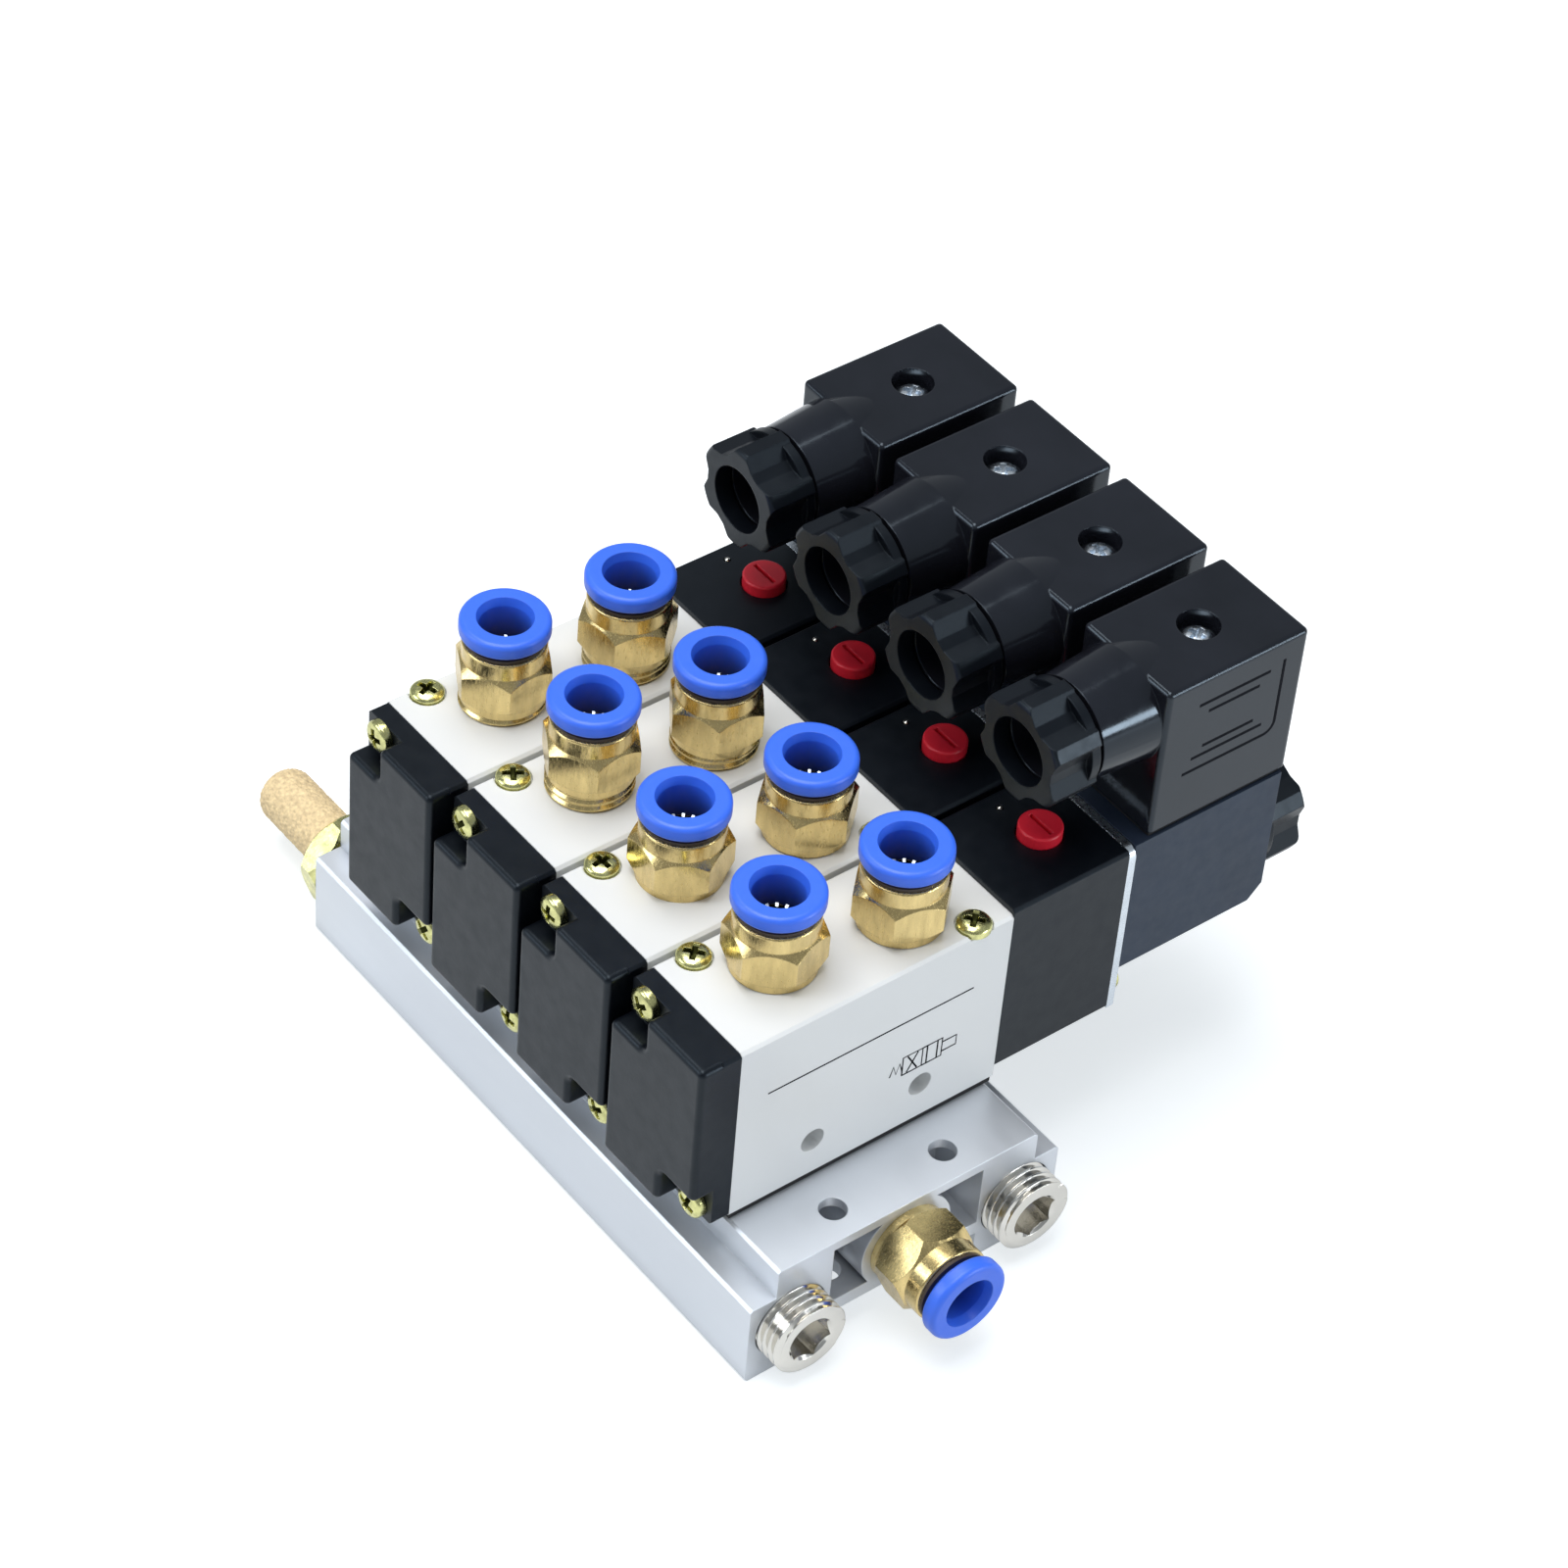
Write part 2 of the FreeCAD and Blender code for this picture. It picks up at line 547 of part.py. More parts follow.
def end_cap(x):
    """Black end cap: a plate with a rounded block, cut away at two corners for its screws."""
    half = BODY_WIDTH / 2
    low = BODY_FOOT + CAP_INSET
    high = BODY_TOP - CAP_INSET
    block = box(x - half, x + half, CAP_OUTER, CAP_SEAT, low, high)
    for side in (-1, 1):
        edge = x + side * half
        inner = edge - side * NOTCH_WIDTH
        end = high if side < 0 else low
        floor = end + side * NOTCH_HEIGHT
        notch = box(min(edge, inner), max(edge, inner), CAP_OUTER, CAP_SEAT,
                    min(end, floor), max(end, floor))
        corner = [e for e in notch.Edges if runs_along_y(e, inner, floor)]
        block = block.cut(notch.makeFillet(NOTCH_RADIUS, corner))
    rims = [e for e in block.Edges if e.BoundBox.YMin < CAP_SEAT - EDGE_BREAK
            and not is_notch_corner(e, x, low, high)]
    block = block.makeFillet(CAP_ROUND, rims)
    plate = chamfered_box(x - half, x + half, CAP_SEAT, BODY_START, low, high, EDGE_BREAK)
    cuts = [rod(SHANK_HOLE, x + dx, CAP_SEAT, z, Y_AXIS, CAP_PLATE) for dx, z in cap_screws()]
    cuts.append(rod(SPOOL_SPRING_RADIUS + FREE_GAP, x, SPRING_SEAT, SPOOL_Z, Y_AXIS,
                    BODY_START - SPRING_SEAT))
    return plate.fuse(block).cut(cuts)


def runs_along_y(edge, x, z):
    """True for an edge along Y at a place across and up."""
    return all(abs(v.X - x) < 1e-6 and abs(v.Z - z) < 1e-6 for v in edge.Vertexes)


def is_notch_corner(edge, x, low, high):
    """True for the two seams along Y where a notch's rounded inner corner meets its walls."""
    extent = edge.BoundBox
    if extent.YLength < EDGE_BREAK:
        return False
    across = abs(extent.XMin - x)
    up = min(extent.ZMin - low, high - extent.ZMin)
    half = BODY_WIDTH / 2
    on_wall = abs(across - (half - NOTCH_WIDTH)) < 1e-6 and up > EDGE_BREAK
    on_floor = abs(up - NOTCH_HEIGHT) < 1e-6 and across < half - EDGE_BREAK
    return on_wall or on_floor


def return_spring(x):
    """Spring between the end cap and the spool."""
    end = BODY_START + SPOOL_STROKE + END_PLAY - REST_GAP
    return sleeve_spring(SPOOL_SPRING_RADIUS, SPRING_SEAT + REST_GAP, end, x, SPOOL_Z)


# Pilot and manual override
def pilot_body(x):
    """Black pilot body with piston chamber, plunger chamber and override well."""
    half = BODY_WIDTH / 2
    body = chamfered_box(x - half, x + half, BODY_END, PILOT_END, PILOT_BOTTOM, PILOT_TOP, EDGE_BREAK)
    chamber_end = PISTON_START + PISTON_THICK + END_PLAY
    well_depth = OVERRIDE_SUNK + OVERRIDE_TRAVEL + OVERRIDE_FLOOR
    pin_depth = OVERRIDE_SUNK + OVERRIDE_PIN_LENGTH + OVERRIDE_TRAVEL + END_PLAY
    cuts = [rod(PISTON_RADIUS, x, BODY_END, SPOOL_Z, Y_AXIS, chamber_end - BODY_END),
            rod(TUBE_BORE, x, PILOT_END - CHAMBER_DEPTH, COIL_Z, Y_AXIS, CHAMBER_DEPTH),
            rod(OVERRIDE_RADIUS + FREE_GAP, x, BUTTON_Y, PILOT_TOP - well_depth, Z_AXIS, well_depth),
            rod(OVERRIDE_PIN_RADIUS + FREE_GAP, x, BUTTON_Y, PILOT_TOP - pin_depth, Z_AXIS, pin_depth),
            rod(VENT_RADIUS, x - half + VENT_SIDE, BODY_END + VENT_Y, PILOT_TOP - VENT_DEPTH, Z_AXIS,
                VENT_DEPTH)]
    for dx, z in pilot_screws():
        depth = PILOT_SCREW_LENGTH - PLATE_THICK + END_PLAY
        cuts.append(rod(TAP_RADIUS, x + dx, PILOT_END - depth, z, Y_AXIS, depth))
    nozzle = rod(PLUNGER_NOSE, x, PILOT_END - CHAMBER_DEPTH, COIL_Z, Y_AXIS, PLUNGER_NOSE - REST_GAP)
    return body.cut(cuts).fuse(nozzle)


def override_pin(x):
    """Pin that the button presses on, with a flange and a pivot for the button."""
    top = BUTTON_FOOT - REST_GAP
    under = top - OVERRIDE_FLANGE_THICK
    pivot = OVERRIDE_PIN_RADIUS - 2 * REST_GAP
    foot = BUTTON_FOOT - OVERRIDE_PIN_LENGTH
    outline = [(0, foot), (OVERRIDE_PIN_RADIUS, foot), (OVERRIDE_PIN_RADIUS, under),
               (OVERRIDE_FLANGE_RADIUS, under), (OVERRIDE_FLANGE_RADIUS, top),
               (pivot, top), (pivot, BUTTON_FOOT + OVERRIDE_SUNK), (0, BUTTON_FOOT + OVERRIDE_SUNK)]
    return placed(turned(outline), x, BUTTON_Y, 0)


def override_button(x):
    """Red slotted button, pressed to switch the valve and turned to lock it."""
    top = PILOT_TOP + OVERRIDE_PROUD
    pivot = OVERRIDE_PIN_RADIUS - REST_GAP
    roof = BUTTON_FOOT + OVERRIDE_SUNK + REST_GAP
    outline = [(pivot, BUTTON_FOOT), (OVERRIDE_RADIUS, BUTTON_FOOT), (OVERRIDE_RADIUS, top),
               (0, top), (0, roof), (pivot, roof)]
    button = rounded_rims(turned(outline), OVERRIDE_ROUND, [(OVERRIDE_RADIUS, top)])
    slot = box(-SLOT_REACH, SLOT_REACH, -SLOT_WIDTH / 2, SLOT_WIDTH / 2, top - SLOT_DEPTH, top)
    return placed(button.cut(slot), x, BUTTON_Y, 0)


# Solenoid
def core_tube(x):
    """Steel plate with the plunger tube, its fixed core and the threaded stud."""
    half = BODY_WIDTH / 2
    plate = box(x - half, x + half, PILOT_END, PLATE_END, PILOT_BOTTOM, PILOT_TOP)
    corners = [e for e in plate.Edges if abs(e.Vertexes[0].Y - e.Vertexes[-1].Y) > PLATE_THICK / 2
               and e.Vertexes[0].Z > COIL_Z]
    plate = plate.makeFillet(PLATE_CORNER, corners)
    tube = rod(TUBE_RADIUS, x, PILOT_END, COIL_Z, Y_AXIS, COIL_END - PILOT_END)
    stud = rod(STUD_RADIUS, x, COIL_END, COIL_Z, Y_AXIS, STUD_LENGTH)
    cuts = [rod(TUBE_BORE, x, PILOT_END, COIL_Z, Y_AXIS, CORE_FACE - PILOT_END)]
    for dx, z in pilot_screws():
        cuts.append(rod(SHANK_HOLE, x + dx, PILOT_END, z, Y_AXIS, PLATE_THICK))
    return plate.fuse([tube, stud]).cut(cuts).removeSplitter()


def plunger(x):
    """Moving plunger with a spring pocket in its far end."""
    pocket = PLUNGER_POCKET_RADIUS
    floor = PLUNGER_LENGTH - PLUNGER_POCKET_DEPTH
    outline = [(0, 0), (PLUNGER_NOSE * 2, 0), (PLUNGER_NOSE * 2, PLUNGER_NOSE),
               (PLUNGER_RADIUS, PLUNGER_NOSE), (PLUNGER_RADIUS, PLUNGER_LENGTH),
               (pocket, PLUNGER_LENGTH), (pocket, floor), (0, floor)]
    return placed(turned(outline), x, PLUNGER_START, COIL_Z, Y_AXIS)


def plunger_spring(x):
    """Spring between the plunger and the fixed core."""
    floor = PLUNGER_START + PLUNGER_LENGTH - PLUNGER_POCKET_DEPTH
    return sleeve_spring(PLUNGER_POCKET_RADIUS - FREE_GAP, floor + REST_GAP, CORE_FACE - REST_GAP, x, COIL_Z)


def blades():
    """Terminal blades on the coil: across, along from the connector's gland face, turned or not."""
    return [(-BLADE_SPREAD, BLADE_PAIR_Y, True), (BLADE_SPREAD, BLADE_PAIR_Y, True),
            (0, BLADE_EARTH_Y, False)]


def blade_box(x, blade, play, length):
    """A blade, or with play the slot that takes it."""
    dx, dy, along = blade
    wide = BLADE_WIDTH / 2 + play
    thin = BLADE_THICK / 2 + play
    half_x, half_y = (thin, wide) if along else (wide, thin)
    cx = x + dx
    cy = CONNECTOR_START + dy
    return box(cx - half_x, cx + half_x, cy - half_y, cy + half_y, COIL_TOP, COIL_TOP + length)


def coil(x):
    """Moulded coil with a bore for the tube and three terminal blades."""
    outline = [(COIL_START, COIL_BOTTOM), (COIL_END - COIL_CHAMFER, COIL_BOTTOM),
               (COIL_END, COIL_BOTTOM + COIL_CHAMFER), (COIL_END, COIL_TOP), (COIL_START, COIL_TOP)]
    body = section_x(outline, x - COIL_HALF, x + COIL_HALF)
    tap = LOCK_BITE + END_PLAY
    cuts = [rod(TUBE_RADIUS + TUBE_PLAY, x, COIL_START, COIL_Z, Y_AXIS, COIL_LENGTH),
            rod(TAP_RADIUS, x, LOCK_Y, COIL_TOP - tap, Z_AXIS, tap)]
    return body.cut(cuts).fuse([blade_box(x, b, 0, BLADE_LENGTH) for b in blades()])


def coil_nut(x):
    """Black lobed nut that holds the coil on its tube, its outer face closed."""
    nut = lobed_nut(BODY_WIDTH / 2 - COIL_NUT_SIDE, COIL_NUT_THICK, COIL_NUT_TURN)
    nut = nut.cut(rod(STUD_RADIUS + THREAD_PLAY, 0, 0, 0, Z_AXIS, STUD_LENGTH + END_PLAY))
    return placed(nut, x, COIL_END, COIL_Z, Y_AXIS)


# Connector
def connector(x):
    """Cable connector: a box with a gland tube on one side and a screw well on top."""
    shell = box(x - CONNECTOR_HALF, x + CONNECTOR_HALF, CONNECTOR_START, CONNECTOR_END, CONNECTOR_FOOT,
                CONNECTOR_TOP)
    edges = [e for e in shell.Edges if e.BoundBox.ZMax > CONNECTOR_FOOT + CONNECTOR_ROUND]
    shell = shell.makeFillet(CONNECTOR_ROUND, edges)
    outline = [(0, -GLAND_NECK_LENGTH), (GLAND_NECK_RADIUS, -GLAND_NECK_LENGTH), (GLAND_NECK_RADIUS, 0),
               (GLAND_RADIUS, 0), (GLAND_ROOT_RADIUS, GLAND_LENGTH),
               (HOOD_END_RADIUS, GLAND_LENGTH + HOOD_LENGTH), (0, GLAND_LENGTH + HOOD_LENGTH)]
    gland = placed(turned(outline), x, GLAND_END, GLAND_Z, Y_AXIS)
    cuts = [rod(GLAND_BORE_RADIUS, x, GLAND_END - GLAND_NECK_LENGTH, GLAND_Z, Y_AXIS, GLAND_BORE_DEPTH),
            rod(LOCK_WELL_RADIUS, x, LOCK_Y, CONNECTOR_TOP - LOCK_WELL_DEPTH, Z_AXIS, LOCK_WELL_DEPTH),
            rod(SHANK_HOLE, x, LOCK_Y, CONNECTOR_FOOT, Z_AXIS, CONNECTOR_HEIGHT)]
    cuts += [blade_box(x, b, BLADE_PLAY, BLADE_LENGTH + BLADE_PLAY) for b in blades()]
    return shell.fuse(gland).cut(cuts)


def connector_gasket(x):
    """Flat seal between coil and connector."""
    half = CONNECTOR_HALF - GASKET_INSET
    sheet = box(x - half, x + half, CONNECTOR_START + GASKET_INSET, COIL_END - GASKET_INSET,
                COIL_TOP, CONNECTOR_FOOT)
    holes = [blade_box(x, b, BLADE_PLAY, SEAL_THICK) for b in blades()]
    return sheet.cut(holes + [rod(SHANK_HOLE, x, LOCK_Y, COIL_TOP, Z_AXIS, SEAL_THICK)])


def connector_screw(x):
    """Long screw down through the connector into the coil."""
    seat = CONNECTOR_TOP - LOCK_WELL_DEPTH
    length = seat - COIL_TOP + LOCK_BITE
    outline = [(0, -length), (SCREW_RADIUS, -length), (SCREW_RADIUS, 0), (LOCK_HEAD_RADIUS, 0),
               (LOCK_HEAD_RADIUS, LOCK_HEAD_HEIGHT), (0, LOCK_HEAD_HEIGHT)]
    screw = rounded_rims(turned(outline), HEAD_ROUND, [(LOCK_HEAD_RADIUS, LOCK_HEAD_HEIGHT)])
    return placed(screw, x, LOCK_Y, seat)


def gland_nut(x):
    """Six-lobed cap nut of the cable gland, open at the front for the cable."""
    nut = lobed_nut(GLAND_NUT_RADIUS, GLAND_NUT_LENGTH, GLAND_NUT_TURN)
    neck = GLAND_NUT_LENGTH - GLAND_NUT_FRONT
    nut = nut.cut([rod(GLAND_BORE_RADIUS, 0, 0, 0, Z_AXIS, GLAND_NUT_LENGTH),
                   rod(GLAND_NECK_RADIUS + THREAD_PLAY, 0, 0, 0, Z_AXIS, neck)])
    return placed(nut, x, GLAND_NUT_END, GLAND_Z, -Y_AXIS)


# Push-in fittings
def fitting_body(turn):
    """Brass body of a push-in fitting, seat at the origin, mouth along +Z."""
    nut = placed(chamfered_hexagon(HEX_ACROSS_FLATS, HEX_HEIGHT, math.radians(turn)), 0, 0, HEX_START)
    inside = COLLAR_SLEEVE_RADIUS + REST_GAP
    outline = [(FLOW_RADIUS, -STEM_LENGTH), (THREAD_RADIUS - STEM_CHAMFER, -STEM_LENGTH),
               (THREAD_RADIUS, STEM_CHAMFER - STEM_LENGTH), (THREAD_RADIUS, 0), (FITTING_ROOT_RADIUS, 0),
               (FITTING_ROOT_RADIUS, HEX_START), (SHOULDER_RADIUS, HEX_START),
               (SHOULDER_RADIUS, SHOULDER_TOP), (LIP_RADIUS, SHOULDER_TOP), (LIP_RADIUS, LIP_TOP),
               (inside, LIP_TOP), (inside, SLEEVE_STOP), (TUBE_SOCKET_RADIUS, SLEEVE_STOP),
               (TUBE_SOCKET_RADIUS, SOCKET_STOP), (FLOW_RADIUS, SOCKET_STOP)]
    core = rounded_rims(turned(outline), SHOULDER_ROUND, [(SHOULDER_RADIUS, SHOULDER_TOP)])
    hollow = rod(SHOULDER_RADIUS - SHOULDER_ROUND, 0, 0, HEX_START, Z_AXIS, HEX_HEIGHT)
    return core.fuse(nut.cut(hollow)).removeSplitter()


def release_collar():
    """Plastic release collar: a flange with a rounded rim and a sleeve inside the fitting."""
    bore = TUBE_SOCKET_RADIUS
    outline = [(bore, SLEEVE_FOOT), (COLLAR_SLEEVE_RADIUS, SLEEVE_FOOT), (COLLAR_SLEEVE_RADIUS, COLLAR_FOOT),
               (COLLAR_RADIUS, COLLAR_FOOT), (COLLAR_RADIUS, COLLAR_TOP), (bore + COLLAR_MOUTH, COLLAR_TOP),
               (bore, COLLAR_TOP - COLLAR_MOUTH_DEPTH)]
    collar = rounded_rims(turned(outline), COLLAR_TOP_ROUND, [(COLLAR_RADIUS, COLLAR_TOP)])
    return rounded_rims(collar, COLLAR_FOOT_ROUND, [(COLLAR_RADIUS, COLLAR_FOOT)])


def port_places():
    """Name, hexagon turn and place of every top port's fitting."""
    rows = (("a", PORT_A_ACROSS, PORT_A_Y, PORT_A_LIFTS, PORT_A_TURNS),
            ("b", PORT_B_ACROSS, PORT_B_Y, PORT_B_LIFTS, PORT_B_TURNS))
    return [(name + str(k + 1), turns[k], (x + dx, y, BODY_TOP + lifts[k]))
            for name, dx, y, lifts, turns in rows for k, x in enumerate(STATION_X)]


# Gallery ends
def gallery_plug():
    """Threaded plug with a hexagon socket, its seat plane at the origin."""
    edge = PLUG_CHAMFER
    outline = [(0, -GALLERY_STEM), (THREAD_RADIUS - edge, -GALLERY_STEM),
               (THREAD_RADIUS, edge - GALLERY_STEM), (THREAD_RADIUS, PLUG_PROUD - edge),
               (THREAD_RADIUS - edge, PLUG_PROUD), (0, PLUG_PROUD)]
    return turned(outline).cut(hexagon(PLUG_SOCKET, PLUG_PROUD))


def silencer_body():
    """Hexagon body of a silencer with its threaded stem."""
    seat = SILENCER_RADIUS - SILENCER_STEP
    face = SILENCER_GAP + SILENCER_HEX_THICK
    stem = rod(THREAD_RADIUS, 0, 0, -GALLERY_STEM, Z_AXIS, GALLERY_STEM + SILENCER_GAP)
    head = chamfered_hexagon(SILENCER_ACROSS_FLATS, SILENCER_HEX_THICK, math.radians(SILENCER_TURN))
    body = stem.fuse(placed(head, 0, 0, SILENCER_GAP))
    return body.cut([rod(seat, 0, 0, face - SILENCER_SPIGOT, Z_AXIS, SILENCER_SPIGOT),
                     rod(FLOW_RADIUS, 0, 0, -GALLERY_STEM, Z_AXIS, GALLERY_STEM + face)])


def silencer_element():
    """Sintered bronze thimble with a domed end."""
    spigot = SILENCER_RADIUS - SILENCER_STEP - REST_GAP
    foot = SILENCER_GAP + SILENCER_HEX_THICK
    start = foot - SILENCER_SPIGOT
    outer = turned([(0, start), (spigot, start), (spigot, foot), (SILENCER_RADIUS, foot),
                    (SILENCER_RADIUS, foot + SILENCER_LENGTH), (0, foot + SILENCER_LENGTH)])
    outer = rounded_rims(outer, SILENCER_DOME, [(SILENCER_RADIUS, foot + SILENCER_LENGTH)])
    room = foot + SILENCER_LENGTH - SILENCER_DOME - start
    return outer.cut(rod(SILENCER_RADIUS - SILENCER_WALL, 0, 0, start, Z_AXIS, room))


def save(name, shape):
    """Write one named sub-part, with the deck at height 0."""
    shape.translate(Z_AXIS * -DECK_TOP)
    shape.exportStep(os.path.join("parts", name + ".step"))


def save_group(name, shapes):
    """Write identical pieces as one sub-part of separate solids."""
    save(name, Part.makeCompound(shapes))


def screws():
    """Every pan-head screw: valves, end caps and solenoid plates."""
    pieces = []
    body_seat = BODY_TOP - COUNTERBORE_DEPTH
    down = body_seat - DECK_TOP + SCREW_BITE
    for x in STATION_X:
        pieces += [placed(pan_head_screw(down), x + dx, y, body_seat) for dx, y in body_screws()]
        pieces += [placed(pan_head_screw(CAP_PLATE + CAP_SCREW_BITE), x + dx, CAP_SEAT, z, -Y_AXIS)
                   for dx, z in cap_screws()]
        pieces += [placed(pan_head_screw(PILOT_SCREW_LENGTH), x + dx, PLATE_END, z, Y_AXIS)
                   for dx, z in pilot_screws()]
    return pieces


os.makedirs("parts", exist_ok=True)
save("manifold_base", manifold_base())
save_group("valve_gaskets", [valve_gasket(x) for x in STATION_X])
for k, x in enumerate(STATION_X):
    number = str(k + 1)
    save("valve_body_" + number, valve_body(x))
    save("spool_" + number, spool(x))
    save("end_cap_" + number, end_cap(x))
    save("pilot_body_" + number, pilot_body(x))
    save("override_pin_" + number, override_pin(x))
    save("override_button_" + number, override_button(x))
    save("plunger_" + number, plunger(x))
    save("coil_" + number, coil(x))
    save("connector_" + number, connector(x))
save_group("return_springs", [return_spring(x) for x in STATION_X])
save_group("plunger_springs", [plunger_spring(x) for x in STATION_X])
save_group("core_tubes", [core_tube(x) for x in STATION_X])
save_group("coil_nuts", [coil_nut(x) for x in STATION_X])
save_group("connector_gaskets", [connector_gasket(x) for x in STATION_X])
save_group("connector_screws", [connector_screw(x) for x in STATION_X])
save_group("gland_nuts", [gland_nut(x) for x in STATION_X])
save_group("pan_screws", screws())
save_group("port_fittings", [placed(fitting_body(turn), *place) for name, turn, place in port_places()])
for name, turn, place in port_places():
    save("release_collar_" + name, placed(release_collar(), *place))
save("inlet_fitting", placed(fitting_body(INLET_TURN), BASE_HALF, 0, SUPPLY_Z, X_AXIS))
save("inlet_collar", placed(release_collar(), BASE_HALF, 0, SUPPLY_Z, X_AXIS))
plugs = [placed(gallery_plug(), BASE_HALF, side * EXHAUST_Y, EXHAUST_Z, X_AXIS) for side in (-1, 1)]
plugs.append(placed(gallery_plug(), -BASE_HALF, 0, SUPPLY_Z, -X_AXIS))
save_group("gallery_plugs", plugs)
exhausts = [(-BASE_HALF, side * EXHAUST_Y, EXHAUST_Z, -X_AXIS) for side in (-1, 1)]
save_group("silencer_bodies", [placed(silencer_body(), *place) for place in exhausts])
save_group("silencer_elements", [placed(silencer_element(), *place) for place in exhausts])
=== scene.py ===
import json
import math

import bmesh
import bpy
from mathutils import Matrix, Vector, noise


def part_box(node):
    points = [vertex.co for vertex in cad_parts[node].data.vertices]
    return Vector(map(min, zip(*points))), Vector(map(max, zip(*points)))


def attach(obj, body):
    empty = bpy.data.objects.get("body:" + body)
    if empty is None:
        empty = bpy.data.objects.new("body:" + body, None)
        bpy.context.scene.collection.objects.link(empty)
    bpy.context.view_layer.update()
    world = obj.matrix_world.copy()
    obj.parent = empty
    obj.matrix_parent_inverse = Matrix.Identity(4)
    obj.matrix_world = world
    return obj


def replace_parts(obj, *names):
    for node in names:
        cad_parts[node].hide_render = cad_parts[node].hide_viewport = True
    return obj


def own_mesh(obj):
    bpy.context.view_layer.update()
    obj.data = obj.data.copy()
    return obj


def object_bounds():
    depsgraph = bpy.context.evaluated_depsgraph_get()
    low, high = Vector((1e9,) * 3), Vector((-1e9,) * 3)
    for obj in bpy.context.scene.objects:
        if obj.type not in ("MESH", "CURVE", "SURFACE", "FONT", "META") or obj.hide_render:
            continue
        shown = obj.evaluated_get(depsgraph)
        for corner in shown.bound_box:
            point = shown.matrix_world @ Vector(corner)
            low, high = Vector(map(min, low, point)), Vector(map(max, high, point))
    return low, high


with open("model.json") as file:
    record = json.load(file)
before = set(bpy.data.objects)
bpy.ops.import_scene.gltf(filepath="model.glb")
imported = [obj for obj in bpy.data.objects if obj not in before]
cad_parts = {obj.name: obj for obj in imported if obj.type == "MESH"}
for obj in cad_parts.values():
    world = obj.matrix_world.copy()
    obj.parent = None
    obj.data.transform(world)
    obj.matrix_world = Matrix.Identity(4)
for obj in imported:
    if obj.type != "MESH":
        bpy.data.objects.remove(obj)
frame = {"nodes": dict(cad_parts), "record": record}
cad_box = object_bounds()

MM = 0.001
DECK = 21.8                  # the frame's height 0 above the manifold's foot, in mm
STATIONS = (-34.5, -11.5, 11.5, 34.5)


# Node helpers
class Shader:
    """A material with its node tree and short ways to add and join nodes."""

    def __init__(self, name):
        self.material = bpy.data.materials.new(name)
        self.material.use_nodes = True
        self.nodes = self.material.node_tree.nodes
        self.links = self.material.node_tree.links
        self.nodes.clear()
        self.output = self.add("ShaderNodeOutputMaterial")
        self.base = self.add("ShaderNodeBsdfPrincipled")
        self.join(self.base.outputs[0], self.output.inputs["Surface"])
        self.place = self.add("ShaderNodeTexCoord").outputs["Object"]

    def add(self, kind, **values):
        node = self.nodes.new(kind)
        for key, value in values.items():
            setattr(node, key, value)
        return node

    def join(self, a, b):
        self.links.new(a, b)

    def noise(self, scale, stretch=(1, 1, 1), detail=4.0, rough=0.55):
        """Noise in the frame's metres: scale counts features per metre."""
        mapping = self.add("ShaderNodeMapping")
        mapping.inputs["Scale"].default_value = stretch
        self.join(self.place, mapping.inputs["Vector"])
        texture = self.add("ShaderNodeTexNoise")
        texture.inputs["Scale"].default_value = scale
        texture.inputs["Detail"].default_value = detail
        texture.inputs["Roughness"].default_value = rough
        self.join(mapping.outputs[0], texture.inputs["Vector"])
        return texture.outputs["Fac"]

    def spread(self, value, low, high, start=0.3, end=0.7):
        """Map a value between start and end onto low to high."""
        node = self.add("ShaderNodeMapRange")
        node.inputs["From Min"].default_value = start
        node.inputs["From Max"].default_value = end
        node.inputs["To Min"].default_value = low
        node.inputs["To Max"].default_value = high
        self.join(value, node.inputs["Value"])
        return node.outputs[0]

    def blend(self, value, low, high):
        """Mix two colours by a value."""
        ramp = self.add("ShaderNodeValToRGB")
        ramp.color_ramp.elements[0].position = 0.3
        ramp.color_ramp.elements[1].position = 0.7
        ramp.color_ramp.elements[0].color = (*low, 1)
        ramp.color_ramp.elements[1].color = (*high, 1)
        self.join(value, ramp.inputs[0])
        return ramp.outputs[0]

    def bump(self, height, strength, distance, edge):
        """Bump over softened edges, into the shader's normal."""
        bevel = self.add("ShaderNodeBevel", samples=4)
        bevel.inputs["Radius"].default_value = edge
        bump = self.add("ShaderNodeBump")
        bump.inputs["Strength"].default_value = strength
        bump.inputs["Distance"].default_value = distance
        self.join(height, bump.inputs["Height"])
        self.join(bevel.outputs[0], bump.inputs["Normal"])
        self.join(bump.outputs[0], self.base.inputs["Normal"])


def shade(colour, amount):
    """A colour made lighter or darker by a share."""
    return tuple(min(1.0, c * (1 + amount)) for c in colour)


def finish_of(name, colour, rough, metal=0.0, vary=0.06, patch=180, stretch=(1, 1, 1), rough_vary=0.05,
              grain=2600, grain_stretch=(1, 1, 1), grain_height=0.03, edge=0.18, **fixed):
    """A finish whose colour, roughness and grain vary; patch and grain count per metre, heights in mm."""
    s = Shader(name)
    cloud = s.noise(patch, stretch)
    s.join(s.blend(cloud, shade(colour, -vary), shade(colour, vary)), s.base.inputs["Base Color"])
    streak = s.noise(patch * 5, stretch)
    s.join(s.spread(streak, max(0.02, rough - rough_vary), rough + rough_vary), s.base.inputs["Roughness"])
    s.base.inputs["Metallic"].default_value = metal
    for key, value in fixed.items():
        s.base.inputs[key.replace("_", " ")].default_value = value
    s.bump(s.noise(grain, grain_stretch), 1.0, grain_height * MM, edge * MM)
    return s


def srgb(r, g, b):
    """Linear colour of an 8-bit screen colour."""
    def one(v):
        v = v / 255
        return v / 12.92 if v <= 0.04045 else ((v + 0.055) / 1.055) ** 2.4
    return (one(r), one(g), one(b))


